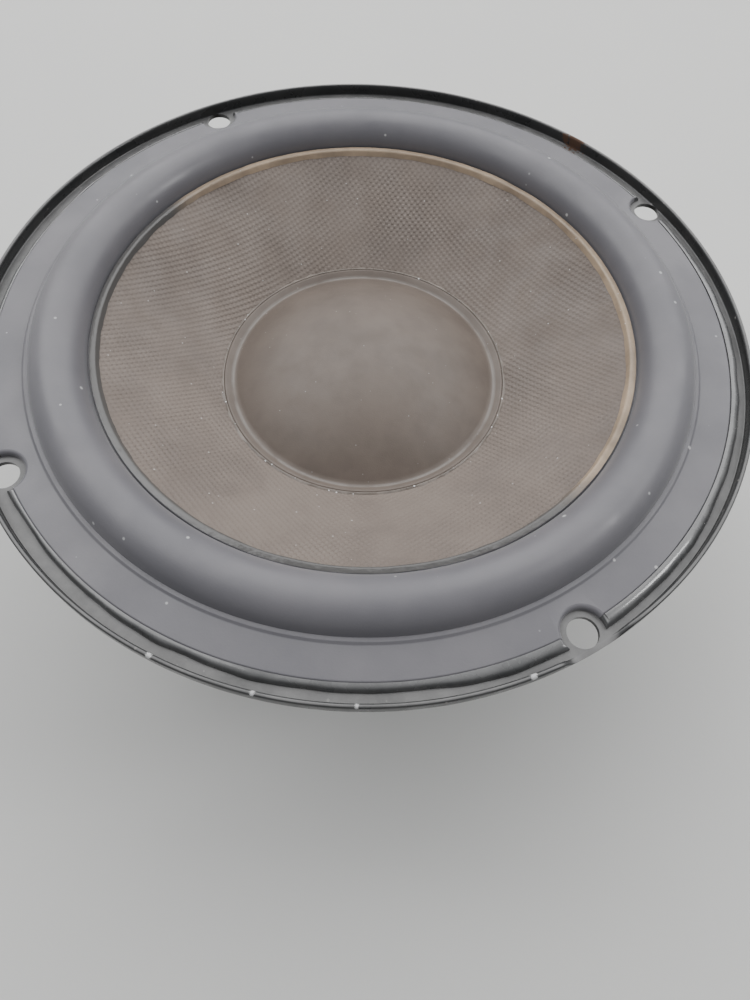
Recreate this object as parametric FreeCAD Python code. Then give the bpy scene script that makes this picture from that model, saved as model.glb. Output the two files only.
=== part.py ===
import FreeCAD, Part
import math
import os

# An eight inch car subwoofer driver, in millimetres. The origin is the centre of the face on
# the back of the flange that seats on the baffle, and +Z points out of the cone at the listener.

# Driving dimensions: the pressed steel basket
RIM_R = 106.0
SHEET = 1.2
SEAT_INNER_R = 88.0
LIP_TOP_Z = 4.5
LIP_BEND_R = 1.2
BOLT_CIRCLE_R = 101.0
BOLT_HOLE_R = 3.75
BOLT_COUNT = 4
WALL_TOP_R = 87.0
WALL_TOP_Z = -6.0
LEDGE_OUTER_R = 60.0
LEDGE_INNER_R = 50.0
LEDGE_Z = -41.5
BASE_Z = -58.0
WINDOW_COUNT = 8
WINDOW_TOP_Z = -10.0
WINDOW_LIP = 3.5
ARM_HALF_WIDTH = 6.5
WINDOW_CORNER_R = 5.0
VENT_HOLE_R = 3.5

# The rubber surround
SURROUND_OUTER_R = 100.2
SURROUND_INNER_R = 73.4
SURROUND_TOP_Z = 3.0
ROLL_R = 7.5
ROLL_CENTRE_R = 83.0
ROLL_CENTRE_Z = 2.0
RUBBER = 1.4
BOLT_NOTCH_R = 5.6
ADHESIVE_WIDTH = 1.6

# The cone and dust cap
CONE_EDGE_R = 72.9
CONE_EDGE_Z = 1.2
CONE_SLOPE = math.tan(math.radians(33.1))
CONE_SHEET = 1.2
CONE_FLANGE_R = 76.0
CONE_NECK_R = 20.2
CAP_DOME_R = 39.2
CAP_LIP_R = 42.0
CAP_HEIGHT = 14.0
CAP_SHEET = 0.9

# The voice coil and spider
FORMER_R = 19.3
FORMER_SHEET = 0.2
FORMER_TOP_Z = -31.0
FORMER_BOTTOM_Z = -69.5
COLLAR_R = 19.75
WINDING_R = 20.3
WINDING_TOP_Z = -53.0
WINDING_BOTTOM_Z = -69.0
WIRE_R = 0.2
SPIDER_INNER_R = 20.3
SPIDER_OUTER_R = 57.6
SPIDER_SHEET = 0.6
SPIDER_ROLLS = 9
SPIDER_ROLL_HEIGHT = 1.6

# The magnet assembly
GAP_OUTER_R = 20.8
POLE_R = 18.7
VENT_R = 6.0
TOP_PLATE_R = 48.0
TOP_PLATE_Z = -64.0
MAGNET_R = 55.0
MAGNET_INNER_R = 30.0
MAGNET_Z = -82.0
BACK_PLATE_R = 52.0
BACK_Z = -88.0
POLE_SHANK_R = 14.0
RIVET_R = 2.0
RIVET_CIRCLE_R = 36.0
RIVET_COUNT = 6

# The push terminals, which stand on a tab folded out of the window at -Y
TAB_HALF_WIDTH = 16.0
TAB_END_Y = -83.0
BLOCK_HALF_WIDTH = 15.5
BLOCK_FRONT_Y = -82.0
BLOCK_BACK_Y = -67.0
BLOCK_HEIGHT = 15.0
BOARD = 2.0
POST_X = 8.0
POST_Z = -34.0
BORE_R = 5.3
MOUTH_R = 4.1
MOUTH_DEPTH = 1.5
SLEEVE_WALL = 0.5
CONTACT_SHEET = 0.8
SHANK_R = 4.72
SHANK_LENGTH = 6.5
CAP_R = 3.95
CAP_PROTRUSION = 5.0
BUTTON_TRAVEL = 3.5
WIRE_HOLE_R = 1.9
WIRE_HOLE_Y = -74.1
SPRING_R = 3.4
SPRING_WIRE_R = 0.3
SPRING_TURNS = 4
SPRING_BENDS = 8  # bends in one turn of the spring's wire
LUG_END_Y = -56.0
LUG_HALF_WIDTH = 2.0
TERMINAL_RIVET_R = 1.5
TERMINAL_RIVET_YS = (-71.0, -78.5)

# The braided leads between the terminals and the cone
LEAD_R = 0.8
EYELET_X = 8.0
EYELET_CIRCLE_R = 33.0
EYELET_R = 1.2
EYELET_FLANGE_R = 2.2
EYELET_SHEET = 0.4
LEAD_ROUTE = (
    (8.0, -60.6, -32.75),
    (8.1, -57.0, -32.65),
    (8.3, -53.2, -33.1),
    (8.8, -49.8, -34.3),
    (9.4, -46.4, -35.4),
    (9.6, -43.0, -35.6),
    (9.2, -39.6, -34.6),
    (8.6, -36.4, -32.6),
    (8.2, -33.6, -29.9),
)
SOLDER_R = 1.7
SOLDER_Y = -60.0

TINY = 1e-6
BOND = 0.05
Z_AXIS = FreeCAD.Vector(0, 0, 1)
Y_AXIS = FreeCAD.Vector(0, 1, 0)
ORIGIN = FreeCAD.Vector(0, 0, 0)
MITRED = 1  # a sweep's corners are mitred


def at(r, z):
    return FreeCAD.Vector(r, 0, z)


def outline(*stops):
    """A closed outline in the XZ half plane. A stop is a point (r, z) at the end of a straight
    run, or two points, the middle and the end of an arc."""
    here = at(*stops[0])
    edges = []
    for stop in stops[1:]:
        if isinstance(stop[0], tuple):
            end = at(*stop[1])
            edges.append(Part.Arc(here, at(*stop[0]), end).toShape())
        else:
            end = at(*stop)
            edges.append(Part.LineSegment(here, end).toShape())
        here = end
    if here.distanceToPoint(at(*stops[0])) > TINY:
        edges.append(Part.LineSegment(here, at(*stops[0])).toShape())
    return Part.Face(Part.Wire(edges))


def turned(*stops):
    """The solid that an outline sweeps when it turns once about the speaker's axis."""
    return outline(*stops).revolve(ORIGIN, Z_AXIS, 360)


def tube(outer_r, inner_r, low_z, high_z):
    return turned((inner_r, low_z), (outer_r, low_z), (outer_r, high_z), (inner_r, high_z))


def rod(r, low_z, high_z, x=0.0, y=0.0):
    return Part.makeCylinder(r, high_z - low_z, FreeCAD.Vector(x, y, low_z))


def rod_along_y(r, low_y, high_y, x, z):
    return Part.makeCylinder(r, high_y - low_y, FreeCAD.Vector(x, low_y, z), Y_AXIS)


def brick(low, high):
    size = [h - l for l, h in zip(low, high)]
    return Part.makeBox(*size, FreeCAD.Vector(*low))


def around(shape, count, first_deg=0.0):
    """Copies of a shape, evenly spaced about the speaker's axis."""
    copies = []
    for k in range(count):
        copy = shape.copy()
        copy.rotate(ORIGIN, Z_AXIS, first_deg + 360.0 * k / count)
        copies.append(copy)
    return copies


def cut_all(shape, tools):
    for tool in tools:
        shape = shape.cut(tool)
    return shape


def one_solid(shape):
    """A boolean result as a single solid with its needless seams taken out."""
    solids = shape.removeSplitter().Solids
    return max(solids, key=lambda solid: solid.Volume)


def offset_sheet(points, thickness):
    """An outline of bent sheet: the points, and the same bends one thickness to their right."""
    shifted = []
    for k, (r, z) in enumerate(points):
        sides = []
        for a, b in zip(points[max(k - 1, 0):k + 1], points[max(k, 1):k + 2]):
            length = math.hypot(b[0] - a[0], b[1] - a[1])
            sides.append(((a[1] - b[1]) / length, (b[0] - a[0]) / length))
        nr = -sum(s[0] for s in sides) / len(sides)
        nz = -sum(s[1] for s in sides) / len(sides)
        scale = thickness / (nr * nr + nz * nz)
        shifted.append((r + nr * scale, z + nz * scale))
    return [*points, *reversed(shifted)]


def at_bolts(r, low_z, high_z):
    """Cylinders on the four mounting holes."""
    first = 180.0 / BOLT_COUNT
    return around(rod(r, low_z, high_z, BOLT_CIRCLE_R), BOLT_COUNT, first)


def basket_rim():
    """The flat seat, with its outer edge folded up into a low round-topped lip."""
    inside = RIM_R - SHEET
    half = SHEET / 2
    corner = LIP_BEND_R * (1 - math.sqrt(0.5))
    rim = turned(
        (SEAT_INNER_R, 0),
        (RIM_R - LIP_BEND_R, 0),
        ((RIM_R - corner, corner), (RIM_R, LIP_BEND_R)),
        (RIM_R, LIP_TOP_Z - half),
        ((RIM_R - half, LIP_TOP_Z), (inside, LIP_TOP_Z - half)),
        (inside, SHEET),
        (SEAT_INNER_R, SHEET),
    )
    return cut_all(rim, at_bolts(BOLT_HOLE_R, -SHEET, 2 * SHEET))


def basket_wall():
    """The conical wall, the ledge that carries the spider, and the base on the top plate."""
    base_top = BASE_Z + SHEET
    bends = [
        (SEAT_INNER_R, SHEET),
        (WALL_TOP_R, WALL_TOP_Z),
        (LEDGE_OUTER_R, LEDGE_Z),
        (LEDGE_INNER_R, LEDGE_Z),
        (LEDGE_INNER_R, base_top),
        (GAP_OUTER_R + SHEET, base_top),
    ]
    return turned(*offset_sheet([(r, z) for r, z in bends], -SHEET))


def wall_r(z):
    """The wall's inner radius at a height."""
    share = (z - WALL_TOP_Z) / (LEDGE_Z - WALL_TOP_Z)
    return WALL_TOP_R + share * (LEDGE_OUTER_R - WALL_TOP_R)


def window_cutter():
    """A tapered block along X that opens one window between two arms."""
    low_z = LEDGE_Z + WINDOW_LIP
    half_pitch = math.tan(math.pi / WINDOW_COUNT)
    top_half = wall_r(WINDOW_TOP_Z) * half_pitch - ARM_HALF_WIDTH
    low_half = wall_r(low_z) * half_pitch - ARM_HALF_WIDTH
    near_r = LEDGE_INNER_R
    corners = [
        FreeCAD.Vector(near_r, -low_half, low_z),
        FreeCAD.Vector(near_r, low_half, low_z),
        FreeCAD.Vector(near_r, top_half, WINDOW_TOP_Z),
        FreeCAD.Vector(near_r, -top_half, WINDOW_TOP_Z),
    ]
    face = Part.Face(Part.makePolygon([*corners, corners[0]]))
    block = face.extrude(FreeCAD.Vector(RIM_R - near_r, 0, 0))
    long_edges = [e for e in block.Edges if abs(e.tangentAt(e.FirstParameter).x) > 1 - TINY]
    return block.makeFillet(WINDOW_CORNER_R, long_edges)


def basket():
    shell = basket_rim().fuse(basket_wall())
    shell = cut_all(shell, around(window_cutter(), WINDOW_COUNT))
    vent_z = (LEDGE_Z + BASE_Z) / 2
    vent = Part.makeCylinder(VENT_HOLE_R, RIM_R, FreeCAD.Vector(0, 0, vent_z), FreeCAD.Vector(1, 0, 0))
    shell = cut_all(shell, around(vent, WINDOW_COUNT))
    rivet_hole = rod(RIVET_R, BASE_Z - SHEET, BASE_Z + 2 * SHEET, RIVET_CIRCLE_R)
    shell = cut_all(shell, around(rivet_hole, RIVET_COUNT))
    mouth = brick(
        (-TAB_HALF_WIDTH, -wall_r(LEDGE_Z + WINDOW_LIP) - 2 * SHEET, LEDGE_Z),
        (TAB_HALF_WIDTH, -LEDGE_OUTER_R + SHEET, LEDGE_Z + 2 * WINDOW_LIP),
    )
    tab = brick(
        (-TAB_HALF_WIDTH, TAB_END_Y, LEDGE_Z - SHEET),
        (TAB_HALF_WIDTH, SHEET - LEDGE_OUTER_R, LEDGE_Z),
    )
    shell = shell.cut(mouth).fuse(tab)
    for y in TERMINAL_RIVET_YS:
        shell = shell.cut(rod(TERMINAL_RIVET_R, LEDGE_Z - 2 * SHEET, LEDGE_Z + SHEET, 0, y))
    return one_solid(shell)


def surround():
    """The moulded rubber: a flange glued to the rim, one half roll, and a foot on the cone."""
    foot_low = CONE_EDGE_Z + BOND
    foot_top = foot_low + SHEET
    lip_z = SURROUND_TOP_Z + 0.5
    inner_roll = ROLL_R - RUBBER
    outer_foot = ROLL_CENTRE_R + math.sqrt(ROLL_R**2 - (lip_z - ROLL_CENTRE_Z) ** 2)
    inner_foot = ROLL_CENTRE_R - math.sqrt(ROLL_R**2 - (foot_top - ROLL_CENTRE_Z) ** 2)
    lip_r = ROLL_CENTRE_R + ROLL_R + 0.9
    body = turned(
        (SURROUND_INNER_R, foot_low),
        (ROLL_CENTRE_R - inner_roll, foot_low),
        (ROLL_CENTRE_R - inner_roll, ROLL_CENTRE_Z),
        ((ROLL_CENTRE_R, ROLL_CENTRE_Z + inner_roll), (ROLL_CENTRE_R + inner_roll, ROLL_CENTRE_Z)),
        (ROLL_CENTRE_R + inner_roll, SHEET),
        (SURROUND_OUTER_R, SHEET),
        (SURROUND_OUTER_R, SURROUND_TOP_Z),
        (lip_r + 0.5, SURROUND_TOP_Z),
        (lip_r, lip_z),
        (outer_foot, lip_z),
        ((ROLL_CENTRE_R, ROLL_CENTRE_Z + ROLL_R), (inner_foot, foot_top)),
        (SURROUND_INNER_R, foot_top),
    )
    return one_solid(cut_all(body, at_bolts(BOLT_NOTCH_R, 0, 2 * LIP_TOP_Z)))


def surround_adhesive():
    """The cement squeezed out on the seat around the rubber's edge, broken at each hole."""
    outer = SURROUND_OUTER_R + ADHESIVE_WIDTH
    middle = (SURROUND_OUTER_R + 0.4 * ADHESIVE_WIDTH, SHEET + 0.7)
    ring = turned(
        (SURROUND_OUTER_R, SHEET),
        (outer, SHEET),
        (middle, (SURROUND_OUTER_R, SHEET + 1.2)),
    )
    return Part.Compound(cut_all(ring, at_bolts(BOLT_NOTCH_R, 0, 2 * LIP_TOP_Z)).Solids)


def cone_z(r):
    """The height of the cone's front face at a radius."""
    return CONE_EDGE_Z - CONE_SLOPE * (CONE_EDGE_R - r)


def eyelet_frame():
    """The place and the outward direction of the eyelet on the -Y side at +X."""
    y = -math.sqrt(EYELET_CIRCLE_R**2 - EYELET_X**2)
    place = FreeCAD.Vector(EYELET_X, y, cone_z(EYELET_CIRCLE_R))
    normal = FreeCAD.Vector(
        -CONE_SLOPE * EYELET_X / EYELET_CIRCLE_R,
        -CONE_SLOPE * y / EYELET_CIRCLE_R,
        1.0,
    )
    return place, normal.normalize()


def mirrored(shape):
    return shape.mirror(ORIGIN, FreeCAD.Vector(1, 0, 0))


def cone():
    """The straight sided cone with a flat outer flange and a short neck on the coil former."""
    back = CONE_SHEET / math.cos(math.atan(CONE_SLOPE))
    neck_low = cone_z(CONE_NECK_R) - back - 1.5
    body = turned(
        (CONE_NECK_R, neck_low),
        (CONE_NECK_R + CONE_SHEET, neck_low),
        (CONE_NECK_R + CONE_SHEET, cone_z(CONE_NECK_R + CONE_SHEET) - back),
        (CONE_EDGE_R + 0.6, cone_z(CONE_EDGE_R + 0.6) - back),
        (CONE_FLANGE_R, CONE_EDGE_Z - CONE_SHEET),
        (CONE_FLANGE_R, CONE_EDGE_Z),
        (CONE_EDGE_R, CONE_EDGE_Z),
        (CONE_NECK_R, cone_z(CONE_NECK_R)),
    )
    place, normal = eyelet_frame()
    hole = Part.makeCylinder(EYELET_R, 8.0, place - normal * 4.0, normal)
    return one_solid(body.cut(hole).cut(mirrored(hole)))


def lead_eyelets():
    """Two hollow brass eyelets, each with a flange in front of the cone and one behind it."""
    place, normal = eyelet_frame()
    front_place = place + normal * 0.08
    rear_place = place - normal * (CONE_SHEET + EYELET_SHEET)
    barrel = Part.makeCylinder(EYELET_R, CONE_SHEET + 0.08, place - normal * CONE_SHEET, normal)
    front = Part.makeCylinder(EYELET_FLANGE_R, EYELET_SHEET, front_place, normal)
    rear = Part.makeCylinder(EYELET_FLANGE_R, EYELET_SHEET, rear_place, normal)
    bore = Part.makeCylinder(EYELET_R / 2, 8.0, place - normal * 4.0, normal)
    eyelet = one_solid(barrel.fuse(front).fuse(rear).cut(bore))
    return Part.Compound([eyelet, mirrored(eyelet)])


def cone_edge_glue():
    """The dried cement fillet between the cone's edge and the inside of the roll."""
    foot_top = CONE_EDGE_Z + BOND + SHEET
    start_r = CONE_EDGE_R - 0.8
    return turned(
        (start_r, cone_z(start_r)),
        (CONE_EDGE_R, CONE_EDGE_Z),
        (SURROUND_INNER_R - BOND, CONE_EDGE_Z),
        (SURROUND_INNER_R - BOND, foot_top),
        (CONE_EDGE_R - 0.2, CONE_EDGE_Z + 0.6),
    )


def dust_cap():
    """The pressed dome with a thin lip that follows the cone."""
    low = cone_z(CAP_DOME_R)
    across = 0.7071
    ball = (CAP_DOME_R**2 + CAP_HEIGHT**2) / (2 * CAP_HEIGHT)
    ball_z = low + CAP_SHEET + CAP_HEIGHT - ball
    mid = (ball * CAP_DOME_R / ball * across, ball_z + math.sqrt(ball**2 - (CAP_DOME_R * across) ** 2))
    inner = ball - CAP_SHEET
    inner_r = CAP_DOME_R - CAP_SHEET
    inner_z = ball_z + math.sqrt(inner**2 - inner_r**2)
    inner_mid = (inner_r * across, ball_z + math.sqrt(inner**2 - (inner_r * across) ** 2))
    return turned(
        (0, ball_z + ball),
        (mid, (CAP_DOME_R, low + CAP_SHEET)),
        (CAP_LIP_R, cone_z(CAP_LIP_R) + CAP_SHEET),
        (CAP_LIP_R, cone_z(CAP_LIP_R)),
        (inner_r, cone_z(inner_r)),
        (inner_r, inner_z),
        (inner_mid, (0, ball_z + inner)),
    )


def dust_cap_glue():
    """The line of cement around the cap's lip."""
    outer = CAP_LIP_R + 0.8
    return turned(
        (CAP_LIP_R, cone_z(CAP_LIP_R)),
        (outer, cone_z(outer)),
        (CAP_LIP_R, cone_z(CAP_LIP_R) + CAP_SHEET),
    )


def voice_coil_former():
    outer = FORMER_R + FORMER_SHEET
    return tube(outer, FORMER_R, FORMER_BOTTOM_Z, FORMER_TOP_Z)


def former_collar():
    """The paper wrap that stiffens the former from the winding to the cone."""
    return tube(COLLAR_R, FORMER_R + FORMER_SHEET, WINDING_TOP_Z, FORMER_TOP_Z - 1.0)


def voice_coil_winding():
    return tube(WINDING_R, FORMER_R + FORMER_SHEET, WINDING_BOTTOM_Z, WINDING_TOP_Z)


def coil_wire_pair(r, low_z, high_z):
    """Two upright wires on the collar, on the -Y side at plus and minus 15 degrees."""
    centre = COLLAR_R + WIRE_R
    wire = rod(r, low_z, high_z, centre)
    wires = []
    for turn in (-105, -75):
        copy = wire.copy()
        copy.rotate(ORIGIN, Z_AXIS, turn)
        wires.append(copy)
    return wires


def coil_lead_wires():
    neck_low = cone_z(CONE_NECK_R) - CONE_SHEET / math.cos(math.atan(CONE_SLOPE)) - 1.5
    return Part.Compound(coil_wire_pair(WIRE_R, WINDING_TOP_Z, neck_low))


def cone_neck_glue():
    """The cement ring that joins the cone's neck to the collar, with the wires set in it."""
    top = cone_z(CONE_NECK_R)
    neck_low = top - CONE_SHEET / math.cos(math.atan(CONE_SLOPE)) - 1.5
    ring = turned(
        (COLLAR_R, neck_low),
        (CONE_NECK_R, neck_low),
        (CONE_NECK_R, top),
        (CONE_NECK_R + 1.0, cone_z(CONE_NECK_R + 1.0)),
        (COLLAR_R, top + 0.7),
    )
    return one_solid(ring)


def spider():
    """The corrugated cloth disc, flat where it is glued to the ledge."""
    start_r = SPIDER_INNER_R + 1.5
    end_r = LEDGE_INNER_R - 0.5
    pitch = (end_r - start_r) / SPIDER_ROLLS
    top_z = LEDGE_Z + SPIDER_SHEET
    upper = [(start_r, top_z)]
    lower = [(start_r, LEDGE_Z)]
    for k in range(SPIDER_ROLLS):
        crest = SPIDER_ROLL_HEIGHT if k % 2 == 0 else -SPIDER_ROLL_HEIGHT
        mid_r = start_r + (k + 0.5) * pitch
        r = start_r + (k + 1) * pitch
        upper.append(((mid_r, top_z + crest), (r, top_z)))
        back_r = start_r + k * pitch
        lower.insert(0, ((mid_r, LEDGE_Z + crest), (back_r, LEDGE_Z)))
    neck_top = top_z + 1.2
    return turned(
        (SPIDER_INNER_R, neck_top),
        (SPIDER_INNER_R + SPIDER_SHEET, neck_top),
        (SPIDER_INNER_R + SPIDER_SHEET, top_z),
        *upper,
        (SPIDER_OUTER_R, top_z),
        (SPIDER_OUTER_R, LEDGE_Z),
        (end_r, LEDGE_Z),
        *lower[:-1],
        (SPIDER_INNER_R, LEDGE_Z),
    )


def spider_neck_glue():
    """The cement ring that joins the spider's neck to the collar, cut by the two wires."""
    low = LEDGE_Z + SPIDER_SHEET + 1.2 + BOND
    ring = turned(
        (COLLAR_R, low),
        (SPIDER_INNER_R + 0.9, low),
        (COLLAR_R, low + 1.1),
    )
    return one_solid(cut_all(ring, coil_wire_pair(WIRE_R + BOND, low - 1, low + 2)))


def spider_edge_glue():
    """The cement bead around the spider's edge on the ledge."""
    outer = SPIDER_OUTER_R + 1.0
    return turned(
        (SPIDER_OUTER_R, LEDGE_Z),
        (outer, LEDGE_Z),
        (SPIDER_OUTER_R, LEDGE_Z + SPIDER_SHEET + 0.3),
    )


def top_plate():
    plate = tube(TOP_PLATE_R, GAP_OUTER_R, TOP_PLATE_Z, BASE_Z)
    holes = around(rod(RIVET_R, TOP_PLATE_Z - 1, BASE_Z + 1, RIVET_CIRCLE_R), RIVET_COUNT)
    return one_solid(cut_all(plate, holes))


def basket_rivets():
    """Steel rivets that clamp the basket's base to the top plate."""
    head = rod(2 * RIVET_R, BASE_Z + SHEET, BASE_Z + 2 * SHEET, RIVET_CIRCLE_R)
    rivet = rod(RIVET_R, TOP_PLATE_Z, BASE_Z + 1.5 * SHEET, RIVET_CIRCLE_R).fuse(head)
    return Part.Compound(around(one_solid(rivet), RIVET_COUNT))


def magnet():
    chamfer = 1.5
    return turned(
        (MAGNET_INNER_R, MAGNET_Z),
        (MAGNET_R - chamfer, MAGNET_Z),
        (MAGNET_R, MAGNET_Z + chamfer),
        (MAGNET_R, TOP_PLATE_Z - chamfer),
        (MAGNET_R - chamfer, TOP_PLATE_Z),
        (MAGNET_INNER_R, TOP_PLATE_Z),
    )


def back_plate():
    chamfer = 2.0
    return turned(
        (POLE_SHANK_R, BACK_Z),
        (BACK_PLATE_R - chamfer, BACK_Z),
        (BACK_PLATE_R, BACK_Z + chamfer),
        (BACK_PLATE_R, MAGNET_Z),
        (POLE_SHANK_R, MAGNET_Z),
    )


def pole_piece():
    """The vented pole, with a shank swaged into the back plate and a flared vent mouth."""
    flare = 2.0
    return turned(
        (VENT_R + flare, BACK_Z),
        (POLE_SHANK_R, BACK_Z),
        (POLE_SHANK_R, MAGNET_Z),
        (POLE_R, MAGNET_Z),
        (POLE_R, BASE_Z + 0.2),
        (POLE_R - 0.8, BASE_Z + 1.0),
        (VENT_R + 1.0, BASE_Z + 1.0),
        (VENT_R, BASE_Z),
        (VENT_R, BACK_Z + flare),
    )


def terminal_block():
    """The moulded housing with two bores, two wire holes and a tunnel for each rivet."""
    block_top = LEDGE_Z + BLOCK_HEIGHT
    block = brick(
        (-BLOCK_HALF_WIDTH, BLOCK_FRONT_Y, LEDGE_Z),
        (BLOCK_HALF_WIDTH, BLOCK_BACK_Y, block_top),
    )
    upright = [e for e in block.Edges if abs(e.tangentAt(e.FirstParameter).z) > 1 - TINY]
    block = block.makeFillet(1.5, upright)
    for x in (-POST_X, POST_X):
        block = block.cut(rod_along_y(BORE_R, BLOCK_FRONT_Y + MOUTH_DEPTH, BLOCK_BACK_Y + 1, x, POST_Z))
        block = block.cut(rod_along_y(MOUTH_R, BLOCK_FRONT_Y - 1, BLOCK_BACK_Y, x, POST_Z))
        block = block.cut(rod(WIRE_HOLE_R, LEDGE_Z + SHEET, block_top + 1, x, WIRE_HOLE_Y))
    for y in TERMINAL_RIVET_YS:
        block = block.cut(rod(TERMINAL_RIVET_R, LEDGE_Z - 1, block_top + 1, 0, y))
    return one_solid(block)


def terminal_board():
    """The fibre board that closes the back of the bores and holds the contacts."""
    board = brick(
        (-BLOCK_HALF_WIDTH, BLOCK_BACK_Y, LEDGE_Z),
        (BLOCK_HALF_WIDTH, BLOCK_BACK_Y + BOARD, LEDGE_Z + BLOCK_HEIGHT),
    )
    for x in (-POST_X, POST_X):
        board = board.cut(lug(x))
    return one_solid(board)


def lug(x):
    half = CONTACT_SHEET / 2
    return brick(
        (x - LUG_HALF_WIDTH, BLOCK_BACK_Y - CONTACT_SHEET, POST_Z - half),
        (x + LUG_HALF_WIDTH, LUG_END_Y, POST_Z + half),
    )


def terminal_contact(x):
    """A plated brass cup that lines a bore, crossed by the wire hole, with a solder lug."""
    cup = rod_along_y(BORE_R, BLOCK_FRONT_Y + MOUTH_DEPTH, BLOCK_BACK_Y, x, POST_Z)
    inside = rod_along_y(
        BORE_R - SLEEVE_WALL, BLOCK_FRONT_Y, BLOCK_BACK_Y - CONTACT_SHEET, x, POST_Z
    )
    wire_hole = rod(WIRE_HOLE_R, LEDGE_Z + SHEET, LEDGE_Z + BLOCK_HEIGHT, x, WIRE_HOLE_Y)
    lug_hole = rod(0.9, POST_Z - 2, POST_Z + 2, x, LUG_END_Y - 1.8)
    return one_solid(cup.cut(inside).cut(wire_hole).fuse(lug(x)).cut(lug_hole))


def shank_front_y():
    return BLOCK_FRONT_Y + MOUTH_DEPTH + 0.1


def terminal_button(x):
    """A button whose cross hole lines up with the wire hole when it is pushed right in."""
    front = shank_front_y()
    shank = rod_along_y(SHANK_R, front, front + SHANK_LENGTH, x, POST_Z)
    cap = rod_along_y(CAP_R, BLOCK_FRONT_Y - CAP_PROTRUSION, front, x, POST_Z)
    rim_edges = [e for e in cap.Edges if abs(e.BoundBox.YMax - BLOCK_FRONT_Y + CAP_PROTRUSION) < 0.01]
    cap = cap.makeFillet(0.8, rim_edges)
    hole = rod(WIRE_HOLE_R, POST_Z - BORE_R, POST_Z + BORE_R, x, WIRE_HOLE_Y - BUTTON_TRAVEL)
    return one_solid(shank.fuse(cap).cut(hole))


def terminal_spring(x):
    """The coil spring that pushes a button out against the mouth of its bore."""
    low = BLOCK_BACK_Y - CONTACT_SHEET - SPRING_WIRE_R - 0.02
    high = shank_front_y() + SHANK_LENGTH + SPRING_WIRE_R + 0.02
    bends = SPRING_TURNS * SPRING_BENDS
    points = []
    for bend in range(bends + 1):
        turn = 2 * math.pi * bend / SPRING_BENDS
        y = high + (low - high) * bend / bends
        points.append(
            FreeCAD.Vector(
                x + SPRING_R * math.cos(turn), y, POST_Z + SPRING_R * math.sin(turn)
            )
        )
    wire = Part.makePolygon(points)
    section = Part.Wire(Part.makeCircle(SPRING_WIRE_R, points[0], points[1] - points[0]))
    return wire.makePipeShell([section], True, False, MITRED)


def terminal_rivets():
    """Two hollow-headed rivets through the block and the tab."""
    rivets = []
    for y in TERMINAL_RIVET_YS:
        top = LEDGE_Z + BLOCK_HEIGHT
        shank = rod(TERMINAL_RIVET_R, LEDGE_Z - SHEET, top, 0, y)
        head = rod(2 * TERMINAL_RIVET_R, top, top + 1.0, 0, y)
        tail = rod(1.7 * TERMINAL_RIVET_R, LEDGE_Z - SHEET - 0.8, LEDGE_Z - SHEET, 0, y)
        rivets.append(one_solid(shank.fuse(head).fuse(tail)))
    return Part.Compound(rivets)


def cord_path(points):
    """Straight runs joined by tangent arcs, each as large as its two runs allow."""
    stops = [FreeCAD.Vector(*p) for p in points]
    edges = []
    radii = []
    here = stops[0]
    for before, corner, after in zip(stops, stops[1:], stops[2:]):
        inward = (before - corner)
        outward = (after - corner)
        shorter = min(inward.Length, outward.Length)
        reach = 0.45 * shorter
        turn = math.pi - inward.getAngle(outward)
        radii.append(reach / math.tan(turn / 2))
        first = corner + inward.normalize() * reach
        last = corner + outward.normalize() * reach
        bisector = (inward + outward).normalize()
        sagitta = radii[-1] * (1 / math.cos(turn / 2) - 1)
        edges.append(Part.LineSegment(here, first).toShape())
        edges.append(Part.Arc(first, corner + bisector * sagitta, last).toShape())
        here = last
    edges.append(Part.LineSegment(here, stops[-1]).toShape())
    return Part.Wire(edges), radii


def tinsel_lead(side):
    """A braided copper lead with slack between a solder lug and a cone eyelet."""
    path, radii = cord_path([(side * x, y, z) for x, y, z in LEAD_ROUTE])
    start = path.Edges[0]
    section = Part.Wire(
        Part.makeCircle(LEAD_R, start.valueAt(start.FirstParameter), start.tangentAt(start.FirstParameter))
    )
    lead = path.makePipeShell([section], True, True)
    expected = math.pi * LEAD_R**2 * path.Length
    print("lead radii", [round(r, 1) for r in radii])
    print("lead length", round(path.Length, 1), "volume", round(lead.Volume / expected, 4))
    return lead


def solder_joints():
    """A dome of solder on each lug, around the end of its lead."""
    joints = []
    for side in (-1, 1):
        base = FreeCAD.Vector(side * POST_X, SOLDER_Y, POST_Z + CONTACT_SHEET / 2)
        dome = Part.makeSphere(SOLDER_R, base, Z_AXIS, 0, 90, 360)
        joints.append(one_solid(dome.cut(tinsel_lead(side))))
    return Part.Compound(joints)


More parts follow.
